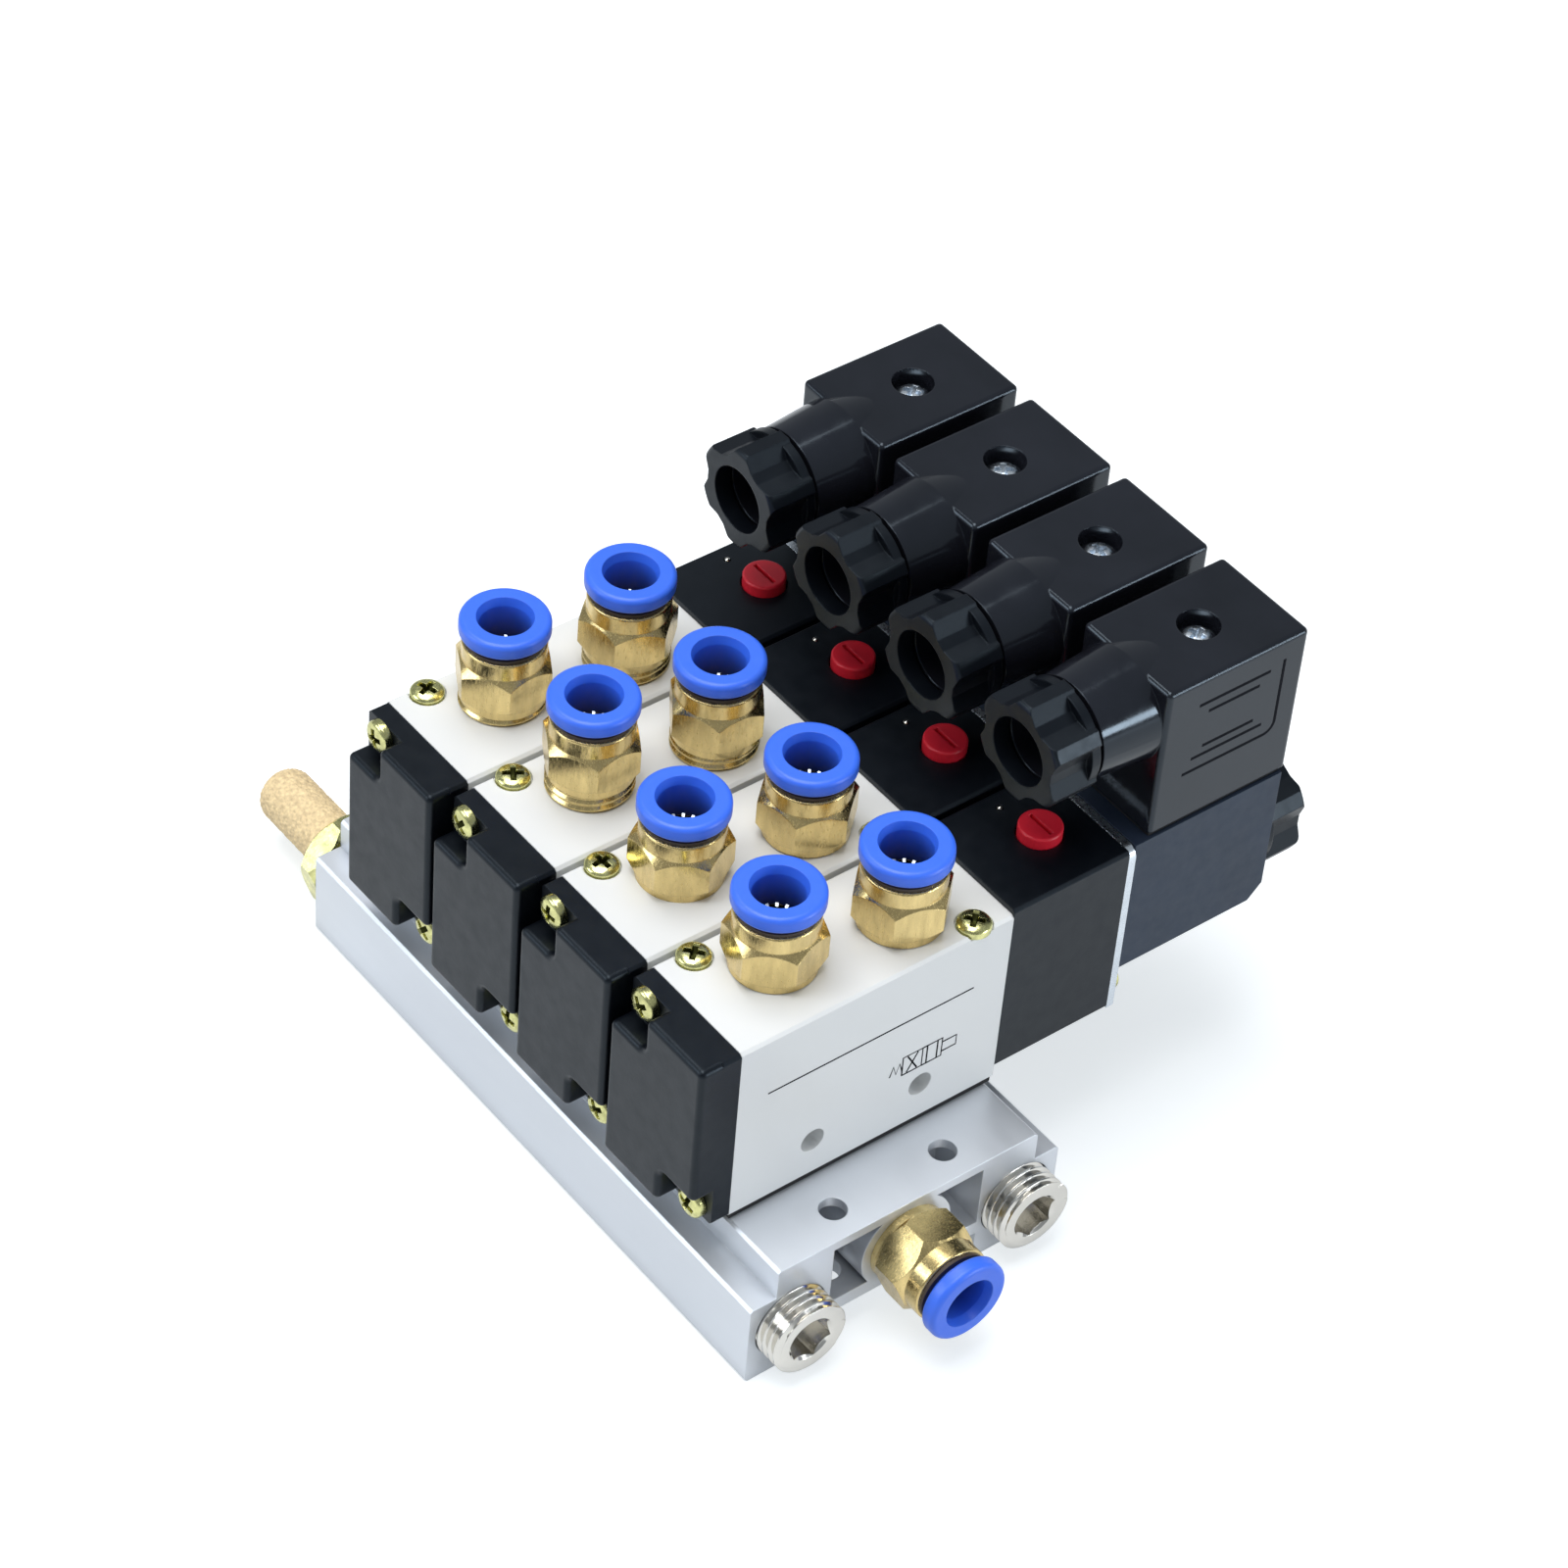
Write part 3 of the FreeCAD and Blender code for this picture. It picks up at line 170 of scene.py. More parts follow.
def tinted(shader, factor):
    """Multiply a finish's colour by a value from 0 to 1."""
    colour = shader.base.inputs["Base Color"]
    tint = shader.add("ShaderNodeMix", data_type="RGBA", blend_type="MULTIPLY")
    tint.inputs["Factor"].default_value = 1.0
    shader.join(colour.links[0].from_socket, tint.inputs["A"])
    shader.join(factor, tint.inputs["B"])
    shader.join(tint.outputs["Result"], colour)
    return shader


def shaded_deep(shader, reach):
    """Darken a finish in holes and pockets narrower than a reach in mm."""
    open_share = shader.add("ShaderNodeAmbientOcclusion", samples=6)
    open_share.inputs["Distance"].default_value = reach * MM
    return tinted(shader, shader.spread(open_share.outputs["AO"], low=0.2, high=1.0, start=0.05, end=0.6))


# Finishes by material slot, and ink, recess and lip for single faces and pieces; the recess and lip finishes
# are painted shade, and the ink also paints the shade of the connectors' grooves
COOL_GLOSS = (0.72, 0.87, 1.0, 1)
FINISHES = {
    "manifold": shaded_deep(finish_of("anodised", srgb(226, 230, 236), 0.4, 0.6, vary=0.02, patch=60,
                                      stretch=(0.1, 1, 1), grain=1400, grain_stretch=(0.03, 1.6, 1.6),
                                      grain_height=0.004, edge=0.25), reach=6.5),
    "valve_white": finish_of("white_paint", srgb(233, 234, 233), 0.34, vary=0.01, patch=40, grain=900,
                             grain_height=0.006, edge=0.25, Coat_Weight=0.15, Coat_Roughness=0.2),
    "black_plastic": finish_of("black_moulding", srgb(10, 13, 19), 0.36, vary=0.15, patch=70, grain=2400,
                               grain_height=0.010, edge=0.3, Specular_IOR_Level=0.32,
                               Specular_Tint=COOL_GLOSS),
    "coil_black": finish_of("coil_resin", srgb(34, 43, 60), 0.5, vary=0.12, patch=90, grain=3200,
                            grain_height=0.012, edge=0.25, Specular_Tint=COOL_GLOSS),
    "connector_black": finish_of("gloss_moulding", srgb(25, 26, 32), 0.13, vary=0.25, patch=60, grain=500,
                                 grain_height=0.005, edge=0.3, Specular_Tint=COOL_GLOSS),
    # Matt black for the valve's print, and painted shade in the connectors' grooves
    "ink_and_groove_shade": finish_of("matt_black", srgb(20, 22, 28), 0.85, vary=0.1, Specular_IOR_Level=0.1),
    "seal_black": finish_of("rubber", srgb(22, 22, 23), 0.7, vary=0.15, grain_height=0.02, edge=0.1),
    "red": finish_of("red_moulding", srgb(232, 38, 58), 0.36, vary=0.1, patch=200, grain=1600,
                     grain_height=0.012, edge=0.2),
    "brass": finish_of("turned_brass", srgb(220, 196, 136), 0.22, 1.0, vary=0.16, patch=420,
                       stretch=(1.6, 1.6, 0.35), rough_vary=0.1, grain=1500, grain_stretch=(2, 2, 0.3),
                       grain_height=0.012, edge=0.22),
    "nickel": finish_of("bright_nickel", srgb(222, 219, 212), 0.14, 1.0, vary=0.04, grain=700,
                        grain_height=0.004, edge=0.15),
    "zinc": finish_of("yellow_zinc", srgb(214, 212, 148), 0.24, 1.0, vary=0.3, patch=700, rough_vary=0.1,
                      grain=1500, grain_height=0.014, edge=0.1),
    "steel": finish_of("bright_steel", srgb(222, 230, 238), 0.28, 1.0, vary=0.05, patch=300, grain=1500,
                       grain_height=0.006, edge=0.1),
    "spool_metal": finish_of("ground_alloy", srgb(214, 215, 219), 0.2, 1.0, vary=0.03, grain=1500,
                             grain_height=0.004, edge=0.1),
    "sintered": finish_of("sintered_bronze", srgb(236, 208, 162), 0.6, 0.1, vary=0.24, patch=1400,
                          rough_vary=0.1, grain=1500, grain_height=0.2, edge=0.1),
    # Dark zinc in the screws' cross recesses: painted shade
    "recess": finish_of("shaded_recess", srgb(74, 76, 40), 0.45, 1.0, vary=0.3, patch=900),
    # Brown on the ring under each collar: painted shadow
    "lip_shade_ring": finish_of("painted_lip_shadow", srgb(62, 50, 44), 0.55, vary=0.15, grain_height=0.01, edge=0.1),
}

BORE_LIT, BORE_DARK = 1.4, 7.4    # depths below a collar's mouth between which its bore darkens


def collar_blue(node, axis):
    """Waxy blue that darkens down a collar's bore, where little light gets in."""
    shader = finish_of("blue_" + node, srgb(62, 115, 243), 0.36, vary=0.015, patch=120, grain=500,
                       grain_height=0.004, edge=0.25, Subsurface_Weight=0.08, Subsurface_Scale=0.001,
                       Subsurface_Radius=(0.3, 0.5, 1.0))
    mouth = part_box(node)[1].dot(axis)
    along = shader.add("ShaderNodeVectorMath", operation="DOT_PRODUCT")
    along.inputs[1].default_value = axis
    shader.join(shader.place, along.inputs[0])
    light = shader.spread(along.outputs["Value"], low=0.14, high=1.0, start=mouth - BORE_DARK * MM,
                          end=mouth - BORE_LIT * MM)
    return tinted(shader, light)


SLOT_OF = {part["node"]: part["material_slot"] for part in frame["record"]["subparts"]}
for node, obj in frame["nodes"].items():
    if "collar" in node:
        finish = collar_blue(node, Vector((1, 0, 0)) if "inlet" in node else Vector((0, 0, 1)))
    else:
        finish = FINISHES["black_plastic" if node == "gland_nuts" else SLOT_OF[node]]
    for i in range(len(obj.data.materials)):
        obj.data.materials[i] = finish.material


# Camera at the photograph's viewing angle
AZIMUTH, ELEVATION, ROLL = (math.radians(v) for v in (48.97, 43.16, 5.12))
TARGET = Vector((0, 0, 18.2)) * MM
DISTANCE, SHIFT_ACROSS, SHIFT_UP = 760.0, 15.01, 16.35
FOCAL_PIXELS, PICTURE_PIXELS, SENSOR = 5031.0, 1600, 36.0
back = Vector((math.sin(AZIMUTH) * math.cos(ELEVATION), -math.cos(AZIMUTH) * math.cos(ELEVATION),
               math.sin(ELEVATION)))
right = Vector((math.cos(AZIMUTH), math.sin(AZIMUTH), 0))
up = back.cross(right)
across = math.cos(ROLL) * right + math.sin(ROLL) * up
upward = -math.sin(ROLL) * right + math.cos(ROLL) * up
eye = TARGET + DISTANCE * MM * back + SHIFT_ACROSS * MM * across + SHIFT_UP * MM * upward
lens = bpy.data.cameras.new("camera")
lens.sensor_width = SENSOR
lens.lens = FOCAL_PIXELS / PICTURE_PIXELS * SENSOR
lens.clip_start = 0.05
lens.clip_end = 20
camera = bpy.data.objects.new("camera", lens)
bpy.context.collection.objects.link(camera)
camera.matrix_world = Matrix.Translation(eye) @ Matrix((across, upward, back)).transposed().to_4x4()
bpy.context.scene.camera = camera


# White floor: it glows a little to the camera and in glossy surfaces, and keeps the shadow
FLOOR_REACH = 6.0
GLOW_COLOUR = (0.94, 0.98, 1.0, 1)
GLOW_SEEN, GLOW_MIRRORED = 0.62, 0.32
floor_z = cad_box[0].z
floor_mesh = bpy.data.meshes.new("floor")
floor_mesh.from_pydata([(x * FLOOR_REACH, y * FLOOR_REACH, floor_z)
                        for x, y in ((-1, -1), (1, -1), (1, 1), (-1, 1))], [], [(0, 1, 2, 3)])
floor = bpy.data.objects.new("floor", floor_mesh)
bpy.context.collection.objects.link(floor)
paper = Shader("white_paper")
paper.join(paper.blend(paper.noise(20), (0.60, 0.61, 0.62), (0.63, 0.64, 0.65)),
           paper.base.inputs["Base Color"])
paper.base.inputs["Roughness"].default_value = 0.9
glow = paper.add("ShaderNodeEmission")
glow.inputs["Color"].default_value = GLOW_COLOUR
rays = paper.add("ShaderNodeLightPath")
seen = paper.add("ShaderNodeMath", operation="MULTIPLY")
seen.inputs[1].default_value = GLOW_SEEN
mirrored = paper.add("ShaderNodeMath", operation="MULTIPLY_ADD")
mirrored.inputs[1].default_value = GLOW_MIRRORED
paper.join(rays.outputs["Is Camera Ray"], seen.inputs[0])
paper.join(rays.outputs["Is Glossy Ray"], mirrored.inputs[0])
paper.join(seen.outputs[0], mirrored.inputs[2])
paper.join(mirrored.outputs[0], glow.inputs["Strength"])
both = paper.add("ShaderNodeAddShader")
paper.join(paper.base.outputs[0], both.inputs[0])
paper.join(glow.outputs[0], both.inputs[1])
paper.join(both.outputs[0], paper.output.inputs["Surface"])
floor_mesh.materials.append(paper.material)


# World and lamps
WHITE, COOL = (1, 1, 1), (0.88, 0.94, 1.0)
SKY_STRENGTH = 0.34
AIM = Vector((0, 0.02, 0.02))
bpy.context.scene.view_settings.view_transform = "Standard"
world = bpy.data.worlds.new("studio")
world.use_nodes = True
bpy.context.scene.world = world
sky = world.node_tree.nodes["Background"]
sky.inputs["Color"].default_value = (*COOL, 1)
sky.inputs["Strength"].default_value = SKY_STRENGTH


def softbox(name, place, size, power, colour):
    """A rectangular light aimed at the object."""
    data = bpy.data.lights.new(name, "AREA")
    data.shape = "RECTANGLE"
    data.size, data.size_y = size
    data.energy = power
    data.color = colour
    light = bpy.data.objects.new(name, data)
    light.location = place
    light.rotation_mode = "QUATERNION"
    light.rotation_quaternion = (AIM - Vector(place)).to_track_quat("-Z", "Y")
    bpy.context.collection.objects.link(light)


softbox("top", (-0.15, -0.1, 1.2), size=(1.0, 0.8), power=12.5, colour=WHITE)
softbox("front", (-0.5, -0.95, 0.6), size=(0.6, 0.5), power=4, colour=COOL)
softbox("strip", (0.93, 0.55, 0.22), size=(0.5, 0.2), power=4.2, colour=COOL)


# Forms drawn in mm, with heights above the manifold's foot
UP, TO_CAPS, TO_COILS = (0, 0, 1), (0, -1, 0), (0, 1, 0)
TO_INLET, TO_SILENCERS = (1, 0, 0), (-1, 0, 0)
SCALE = Matrix.Scale(MM, 4)


def stood(x, y, height, axis=UP, turn=0.0):
    """Matrix that stands a form's +Z on an axis at a place."""
    swing = Vector((0, 0, 1)).rotation_difference(Vector(axis)).to_matrix().to_4x4()
    return (Matrix.Translation(Vector((x, y, height - DECK)) * MM) @ swing
            @ Matrix.Rotation(math.radians(turn), 4, "Z") @ SCALE)


def mesh_of(form):
    """Turn a bmesh's faces outward and keep it as mesh data."""
    bmesh.ops.recalc_face_normals(form, faces=form.faces)
    data = bpy.data.meshes.new("form")
    form.to_mesh(data)
    form.free()
    return data


def stacked(rings, hollow=False):
    """Form skinned over rings of equal point counts; a ring of one point closes an end."""
    form = bmesh.new()
    levels = [[form.verts.new(point) for point in ring] for ring in rings]
    count = max(len(ring) for ring in rings)
    following = levels[1:] + levels[:1] if hollow else levels[1:]
    for low, high in zip(levels, following):
        for i in range(count):
            corners = (low[i % len(low)], low[(i + 1) % count % len(low)],
                       high[(i + 1) % count % len(high)], high[i % len(high)])
            form.faces.new(tuple(dict.fromkeys(corners)))
    for level in (levels[0], levels[-1]):
        if len(level) > 1 and not hollow:
            form.faces.new(level)
    return mesh_of(form)


def ring_at(radius, height, count):
    """Points of one ring, or its single point on the axis."""
    if radius == 0:
        return [(0, 0, height)]
    angles = [math.tau * i / count for i in range(count)]
    return [(radius * math.cos(t), radius * math.sin(t), height) for t in angles]


def lathe(outline, count=48, hollow=False):
    """Form turned about Z from (radius, height) pairs; a hollow one closes on itself."""
    return stacked([ring_at(radius, height, count) for radius, height in outline], hollow)


def cross_at(reach, arm, height):
    """Twelve points of a cross with arms of a half width."""
    quarter = [(arm, arm), (arm, reach), (-arm, reach)]
    points = []
    for c, d in ((1, 0), (0, 1), (-1, 0), (0, -1)):
        points += [(x * c - y * d, x * d + y * c, height) for x, y in quarter]
    return points


def carved(mesh, *cutters):
    """Cut forms out of a form."""
    body = bpy.data.objects.new("carved", mesh)
    bpy.context.collection.objects.link(body)
    tools = []
    for cutter in cutters:
        tool = bpy.data.objects.new("cutter", cutter)
        bpy.context.collection.objects.link(tool)
        cut = body.modifiers.new("cut", "BOOLEAN")
        cut.operation = "DIFFERENCE"
        cut.solver = "EXACT"
        cut.object = tool
        tools.append(tool)
    result = bpy.data.meshes.new_from_object(body.evaluated_get(bpy.context.evaluated_depsgraph_get()))
    for thing in tools + [body]:
        bpy.data.objects.remove(thing)
    return result


def piece(name, copies, slot, finish=None, second=None, sharp=30):
    """One visible piece made of (mesh, matrix) copies, fixed to the island."""
    form = bmesh.new()
    for mesh, matrix in copies:
        start = len(form.verts)
        form.from_mesh(mesh)
        form.verts.ensure_lookup_table()
        bmesh.ops.transform(form, matrix=matrix, verts=form.verts[start:])
    data = bpy.data.meshes.new(name)
    form.to_mesh(data)
    form.free()
    data.shade_smooth()
    data.set_sharp_from_angle(angle=math.radians(sharp))
    obj = bpy.data.objects.new(name, data)
    bpy.context.collection.objects.link(obj)
    data.materials.append(FINISHES[finish or slot].material)
    if second:
        data.materials.append(FINISHES[second].material)
    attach(obj, "island")
    return obj


# Pan head screws with a cross recess
HEAD_RADIUS, HEAD_HEIGHT, SHANK_RADIUS = 2.75, 1.9, 1.5
TIP_BEVEL, SEAT_BEVEL = 0.5, 0.1
DOME_POWER, CROWN_POWER = 0.7, 2.86       # the second is about 2 / the first
RECESS_SHARE = 0.62                       # recess's reach in the head's radius
RECESS_LEVELS = ((0.4, 0.24, -1.35),      # share of the reach, half width of an arm, height from the top
                 (0.92, 0.42, -0.5),
                 (1.12, 0.54, 0.4))
CENTRE_RADIUS, CENTRE_FOOT, CENTRE_TOP = 0.95, -1.6, 0.3
# Bounds of the recess faces that take the dark finish: painted shade
RECESS_SHADE_REACH, RECESS_SHADE_FOOT, RECESS_SHADE_UNDER = 1.2, 0.05, 0.2


def pan_screw(head_radius, head_height, shank_radius, length):
    """Screw with a domed head, its seat at height 0; its recess takes the second material, a darker finish
    that paints shade into it.
    """
    dome = [(head_radius * math.cos(t) ** DOME_POWER, head_height * (0.5 + 0.5 * math.sin(t)))
            for t in (math.radians(a) for a in range(0, 90, 10))]
    outline = [(0, -length), (shank_radius - TIP_BEVEL, -length), (shank_radius, TIP_BEVEL - length),
               (shank_radius, 0), (head_radius - SEAT_BEVEL, 0), (head_radius, SEAT_BEVEL)]
    outline += dome + [(0, head_height)]
    reach = RECESS_SHARE * head_radius
    recess = stacked([cross_at(share * reach, arm, head_height + rise)
                      for share, arm, rise in RECESS_LEVELS])
    centre = stacked([ring_at(0, head_height + CENTRE_FOOT, 8),
                      ring_at(CENTRE_RADIUS, head_height + CENTRE_TOP, 8)])
    head = carved(lathe(outline), recess, centre)
    for face in head.polygons:
        away = math.hypot(face.center.x, face.center.y)
        crown = head_height * (0.5 + 0.5 * math.sqrt(max(0.0, 1 - (away / head_radius) ** CROWN_POWER)))
        sunk = RECESS_SHADE_FOOT < face.center.z < crown - RECESS_SHADE_UNDER
        face.material_index = int(away < RECESS_SHADE_REACH * reach and sunk)
    return head


valve_screw = pan_screw(HEAD_RADIUS, HEAD_HEIGHT, SHANK_RADIUS, 41.9)
cap_screw = pan_screw(HEAD_RADIUS, HEAD_HEIGHT, SHANK_RADIUS, 7.5)
plate_screw = pan_screw(HEAD_RADIUS, HEAD_HEIGHT, SHANK_RADIUS, 10.0)
SPIN = 37                    # degrees that the screws turn from one station to the next
SCREWS = ((valve_screw, -8.9, -18.9, 56.9, UP, 20, 1),     # across, along, height, axis, turn, way round
          (valve_screw, 8.9, 19.9, 56.9, UP, 62, -1),
          (cap_screw, -7.0, -28.3, 55.1, TO_CAPS, 15, 1),
          (cap_screw, 7.0, -28.3, 25.1, TO_CAPS, 50, 1),
          (plate_screw, -7.6, 50.1, 28.5, TO_COILS, 5, 1),
          (plate_screw, 7.6, 50.1, 28.5, TO_COILS, 70, -1))
copies = [(screw, stood(x + dx, y, height, axis, turn + way * SPIN * k))
          for k, x in enumerate(STATIONS) for screw, dx, y, height, axis, turn, way in SCREWS]
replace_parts(piece("cross_recess_screws", copies, "zinc", second="recess"), "pan_screws")

LOCK_Y, LOCK_SEAT = 67.3, 84.1
lock_screw = pan_screw(2.4, 1.7, SHANK_RADIUS, 30.0)
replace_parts(piece("connector_lock_screws", [(lock_screw, stood(x, LOCK_Y, LOCK_SEAT, turn=30 + 25 * k))
                                            for k, x in enumerate(STATIONS)], "steel"), "connector_screws")


# Threads
CREST = 1.25                 # above 1, it flattens a thread's crest
WELD = 1e-4


def threaded(radius, depth, pitch, low, high, count=72, rows=10):
    """Rod with a helical V thread between two heights, run out at both ends."""
    root = radius - depth
    total = int((high - low) / pitch + 2) * rows
    rings = []
    for j in range(total + 1):
        crest = min(1.0, CREST * (1 - abs(2 * (j % rows) / rows - 1)))
        ring = []
        for i in range(count):
            height = low - pitch + (j / rows + i / count) * pitch
            inside = low < height < high
            r = root + depth * crest if inside else root
            t = math.tau * i / count
            ring.append((r * math.cos(t), r * math.sin(t), min(max(height, low), high)))
        rings.append(ring)
    form = bmesh.new()
    levels = [[form.verts.new(point) for point in ring] for ring in rings]
    for j in range(total):
        for i in range(count - 1):
            form.faces.new((levels[j][i], levels[j][i + 1], levels[j + 1][i + 1], levels[j + 1][i]))
        if j + rows < total:
            form.faces.new((levels[j][count - 1], levels[j + rows][0], levels[j + 1 + rows][0],
                            levels[j + 1][count - 1]))
    bmesh.ops.remove_doubles(form, verts=form.verts, dist=WELD)
    bmesh.ops.holes_fill(form, edges=form.edges, sides=0)
    return mesh_of(form)


THREAD_PITCH = 1.337
PLUG_RADIUS, PLUG_THREAD, PLUG_FOOT, PLUG_TOP = 6.58, 0.9, -8.0, 5.0
SOCKET_ACROSS, SOCKET_FLOOR = 7.0, 0.2
COUNTERSINK = [(0, 4.55), (3.6, 4.55), (4.6, 5.5), (0, 5.5)]
BASE_END, EXHAUST_Y, EXHAUST_HEIGHT, SUPPLY_HEIGHT = 58, 21.8, 9.4, 13.2
socket = stacked([ring_at(SOCKET_ACROSS / math.sqrt(3), height, 6)
                  for height in (SOCKET_FLOOR, PLUG_TOP + 1)])
plug = carved(threaded(PLUG_RADIUS, PLUG_THREAD, THREAD_PITCH, PLUG_FOOT, PLUG_TOP), socket,
              lathe(COUNTERSINK))
copies = [(plug, stood(BASE_END, -EXHAUST_Y, EXHAUST_HEIGHT, TO_INLET, 12)),
          (plug, stood(BASE_END, EXHAUST_Y, EXHAUST_HEIGHT, TO_INLET, 50)),
          (plug, stood(-BASE_END, 0, SUPPLY_HEIGHT, TO_SILENCERS, 25))]
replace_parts(piece("threaded_plugs", copies, "nickel"), "gallery_plugs")

# Fittings of the ports: how far each stands off its seat, and its row's place across and along
LIFTS = {"a": (1.4, 3.0, 0.0, 0.2), "b": (2.7, 2.5, 0.3, 0.2)}
PORTS = {"a": (-1.6, -9.802), "b": (1.5, 11.6025)}
BODY_TOP = 57.6
STEM_RADIUS, STEM_THREAD, STEM_START, STEM_GAP = 7.0, 0.5, 0.05, 0.03
fittings = [(lift, x + PORTS[row][0], PORTS[row][1]) for row in LIFTS
            for lift, x in zip(LIFTS[row], STATIONS)]
copies = [(threaded(STEM_RADIUS, STEM_THREAD, THREAD_PITCH, STEM_START, lift - STEM_GAP),
           stood(x, y, BODY_TOP)) for lift, x, y in fittings if lift > 1]
piece("fitting_threads", copies, "brass")


# Sintered thimbles of the silencers
def sintered_thimble():
    """Domed thimble of fused beads, its seat at height 0."""
    radius, length, dome = 4.9, 18.6, 3.2
    neck_radius, neck_length = 3.8, 2.0
    count, step, bead, depth = 200, 0.16, 0.52, 0.16
    steps = [(radius, 0.0)] + [(radius, i * step) for i in range(1, int((length - dome) / step))]
    steps += [(radius - dome * (1 - math.cos(t)), length - dome * (1 - math.sin(t)))
              for t in (math.radians(a * 3) for a in range(0, 31))]
    steps += [(r * step, length) for r in range(int((radius - dome) / step), 0, -1)]
    rings = [[(0, 0, -neck_length)], ring_at(neck_radius, -neck_length, count),
             ring_at(neck_radius, 0, count)]
    for r, h in steps:
        ring = []
        for x, y, z in ring_at(r, h, count):
            near = noise.voronoi(Vector((x, y, z)) / bead)[0][0]
            sunk = depth * min(1.0, near * near * 2.2)
            ring.append((x * (1 - sunk / radius), y * (1 - sunk / radius), z - sunk * (h / length) ** 6))
        rings.append(ring)
    rings.append([(0, 0, length - 0.05)])
    return stacked(rings)


SILENCER_END = -63
thimble = sintered_thimble()
copies = [(thimble, stood(SILENCER_END, -EXHAUST_Y, EXHAUST_HEIGHT, TO_SILENCERS)),
          (thimble, stood(SILENCER_END, EXHAUST_Y, EXHAUST_HEIGHT, TO_SILENCERS, 70))]
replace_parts(piece("sintered_thimbles", copies, "sintered", sharp=60), "silencer_elements")


# Steel claws that grip the tube in each fitting, seen down the collar's bore
def claw_ring():
    """Ring of bent claws, at heights above the fitting's seat."""
    claws, half_angle, thin = 16, 0.06, 0.12
    wall, tip = 4.02, 3.45
    foot, bend, tip_height = 6.2, 8.1, 7.86
    outline = [(wall, foot), (wall, bend), (tip, tip_height), (tip, tip_height - thin),
               (wall - thin, bend - 2.2 * thin), (wall - thin, foot)]
    form = bmesh.new()
    for i in range(claws):
        middle = math.tau * (i + 0.5) / claws
        sides = []
        for t in (middle - half_angle, middle + half_angle):
            sides.append([form.verts.new((r * math.cos(t), r * math.sin(t), h)) for r, h in outline])
        for a in range(len(outline)):
            b = (a + 1) % len(outline)
            form.faces.new((sides[0][a], sides[0][b], sides[1][b], sides[1][a]))
        form.faces.new(sides[0])
        form.faces.new(sides[1])
    return mesh_of(form)


AWAY = 130.0                 # direction of the bore's far wall, where two claws catch the light
seats = [stood(x, y, BODY_TOP + lift, turn=AWAY) for lift, x, y in fittings]
seats.append(stood(BASE_END, 0, SUPPLY_HEIGHT, TO_INLET))
claws = claw_ring()
piece("grab_rings", [(claws, seat) for seat in seats], "steel")


# Dark ring on each fitting's lip, under the collar: painted shadow where the collar shades the lip
LIP_BORE, LIP_SIDE, LIP_SKIN = 5.36, 6.24, 6.28
LIP_SKIRT, LIP_UNDER, LIP_FACE = 11.05, 11.55, 11.62
lip_shade_ring = lathe([(LIP_BORE, LIP_UNDER), (LIP_SIDE, LIP_UNDER), (LIP_SIDE, LIP_SKIRT), (LIP_SKIN, LIP_SKIRT),
             (LIP_SKIN, LIP_FACE), (LIP_BORE, LIP_FACE)], hollow=True)
piece("lip_shadow_rings", [(lip_shade_ring, seat) for seat in seats], "seal_black", "lip_shade_ring")


# Coil springs in place of the spring parts, fixed to the island at full length
def coil(radius, wire, length, turns=6.0, steps=20, sides=8):
    """Round wire wound from height 0 up, with flat end turns."""
    half = wire / 2
    flat = 0.75
    rings = []
    for i in range(int(turns * steps) + 1):
        turned = i / steps
        climb = min(1.0, max(0.0, (turned - flat) / (turns - 2 * flat)))
        middle = half + (length - wire) * climb
        ring = []
        for a in range(sides):
            around = math.tau * a / sides
            r = radius - half + half * math.cos(around)
            ring.append((r * math.cos(math.tau * turned), r * math.sin(math.tau * turned),
                         middle + half * math.sin(around)))
        rings.append(ring)
    return stacked(rings)


WIRE = 0.76
for node, joint, far_end_fixed, travel in (("return_springs", "spool_{}_shift", False, 3.0),
                                           ("plunger_springs", "plunger_{}_lift", True, 1.0)):
    low, high = (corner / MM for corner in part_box(node))
    length = high.y - low.y
    radius = (high.x - low.x - STATIONS[-1] + STATIONS[0]) / 2
    height = (low.z + high.z) / 2 + DECK
    for k, x in enumerate(STATIONS):
        spring = piece(f"{node}_{k + 1}", [(coil(radius, WIRE, length), stood(x, low.y, height, TO_COILS))],
                       "steel")
        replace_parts(spring, node)
        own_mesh(spring)
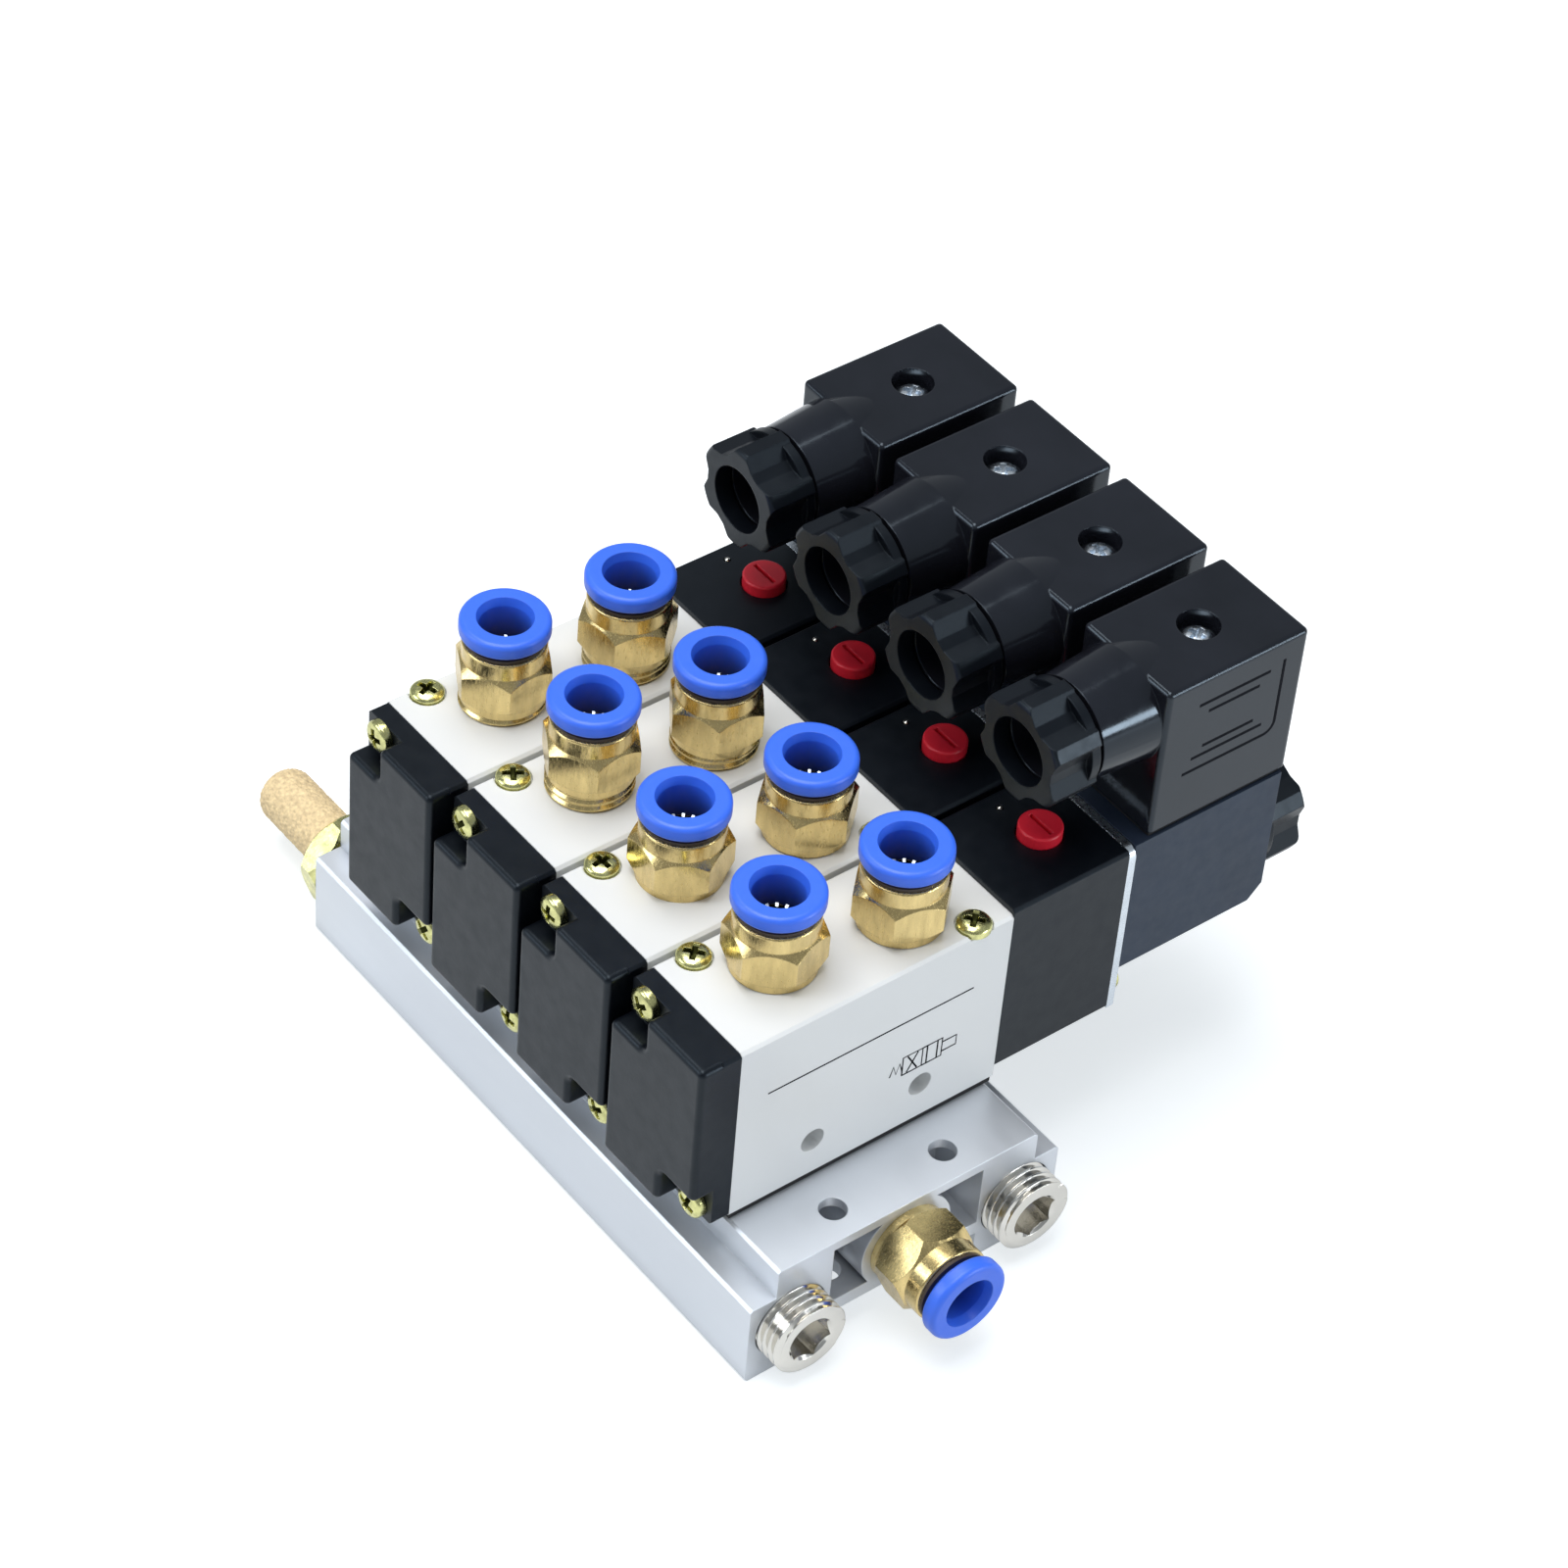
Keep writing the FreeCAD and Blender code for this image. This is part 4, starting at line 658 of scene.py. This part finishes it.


# Thin lines moulded in the connectors and printed on the valve by the inlet; the moulded grooves are matt
# black bands, painted shade
def line_on_side(x, points, width):
    """Flat band along points (y, height) on a side that faces +X, mitred at its corners."""
    form = bmesh.new()
    proud = 0.03
    rows = []
    for i, (y, h) in enumerate(points):
        before = Vector(points[max(i - 1, 0)])
        after = Vector(points[min(i + 1, len(points) - 1)])
        along = (after - before).normalized()
        here = Vector((y, h))
        off = Vector((-along.y, along.x)) * width / 2
        ends = (here - off, here + off)
        rows.append([form.verts.new((x + d, p.x, p.y - DECK)) for p in ends for d in (-proud, proud)])
    for a, b in zip(rows, rows[1:]):
        for i, j in ((0, 1), (1, 3), (3, 2), (2, 0)):
            form.faces.new((a[i], a[j], b[j], b[i]))
    for row in (rows[0], rows[-1]):
        form.faces.new((row[0], row[1], row[3], row[2]))
    return mesh_of(form)


CONNECTOR_SIDE, GROOVE = 10.0, 0.55
CORNER_Y, CORNER_HEIGHT, CORNER_RADIUS = 74.6, 70.9, 2.0
corner = [(CORNER_Y + CORNER_RADIUS * math.cos(math.radians(a)),
           CORNER_HEIGHT + CORNER_RADIUS * math.sin(math.radians(a))) for a in range(0, -91, -15)]
runs = [[(76.6, 83.4)] + corner + [(58.2, 68.9)], [(59.7, 82.3), (73.9, 82.3)],
        [(61.8, 80.3), (72.0, 80.3)], [(61.6, 73.3), (71.8, 73.3)], [(59.6, 71.5), (73.8, 71.5)]]
groove_shades = [(line_on_side(x + CONNECTOR_SIDE, run, GROOVE), SCALE) for x in STATIONS for run in runs]
# Matt black bands stand in for the grooves' shade: painted shade
piece("groove_shade_lines", groove_shades, "connector_black", "ink_and_groove_shade")

VALVE_SIDE, INK = 11.0, 0.28
strokes = [[(-19.4, 46.1), (19.5, 46.1)],
           [(6.8, 34.4), (6.8, 38.2), (10.6, 38.2), (10.6, 34.4), (6.8, 34.4)],
           [(10.6, 38.2), (14.4, 38.2), (14.4, 34.4), (10.6, 34.4)],
           [(7.7, 34.6), (9.7, 38.0)], [(9.7, 34.6), (7.7, 38.0)], [(11.5, 34.4), (11.5, 38.2)],
           [(13.5, 34.4), (13.5, 38.2)], [(14.4, 37.3), (17.2, 37.3), (17.2, 35.3), (14.4, 35.3)],
           [(6.8, 35.3), (6.2, 37.3), (5.6, 35.3), (5.0, 37.3), (4.4, 35.3)]]
piece("printed_lines", [(line_on_side(STATIONS[-1] + VALVE_SIDE, stroke, INK), SCALE) for stroke in strokes],
      "seal_black", "ink_and_groove_shade")


# Small bright plug in each pilot's vent
VENT_ACROSS, VENT_Y, PILOT_TOP = -7.7, 38.4, 58.55
vent = lathe([(0, -1.0), (0.5, -1.0), (0.5, 0.0), (0.42, 0.18), (0.25, 0.3), (0, 0.34)], 20)
piece("vent_plugs", [(vent, stood(x + VENT_ACROSS, VENT_Y, PILOT_TOP)) for x in STATIONS], "nickel")
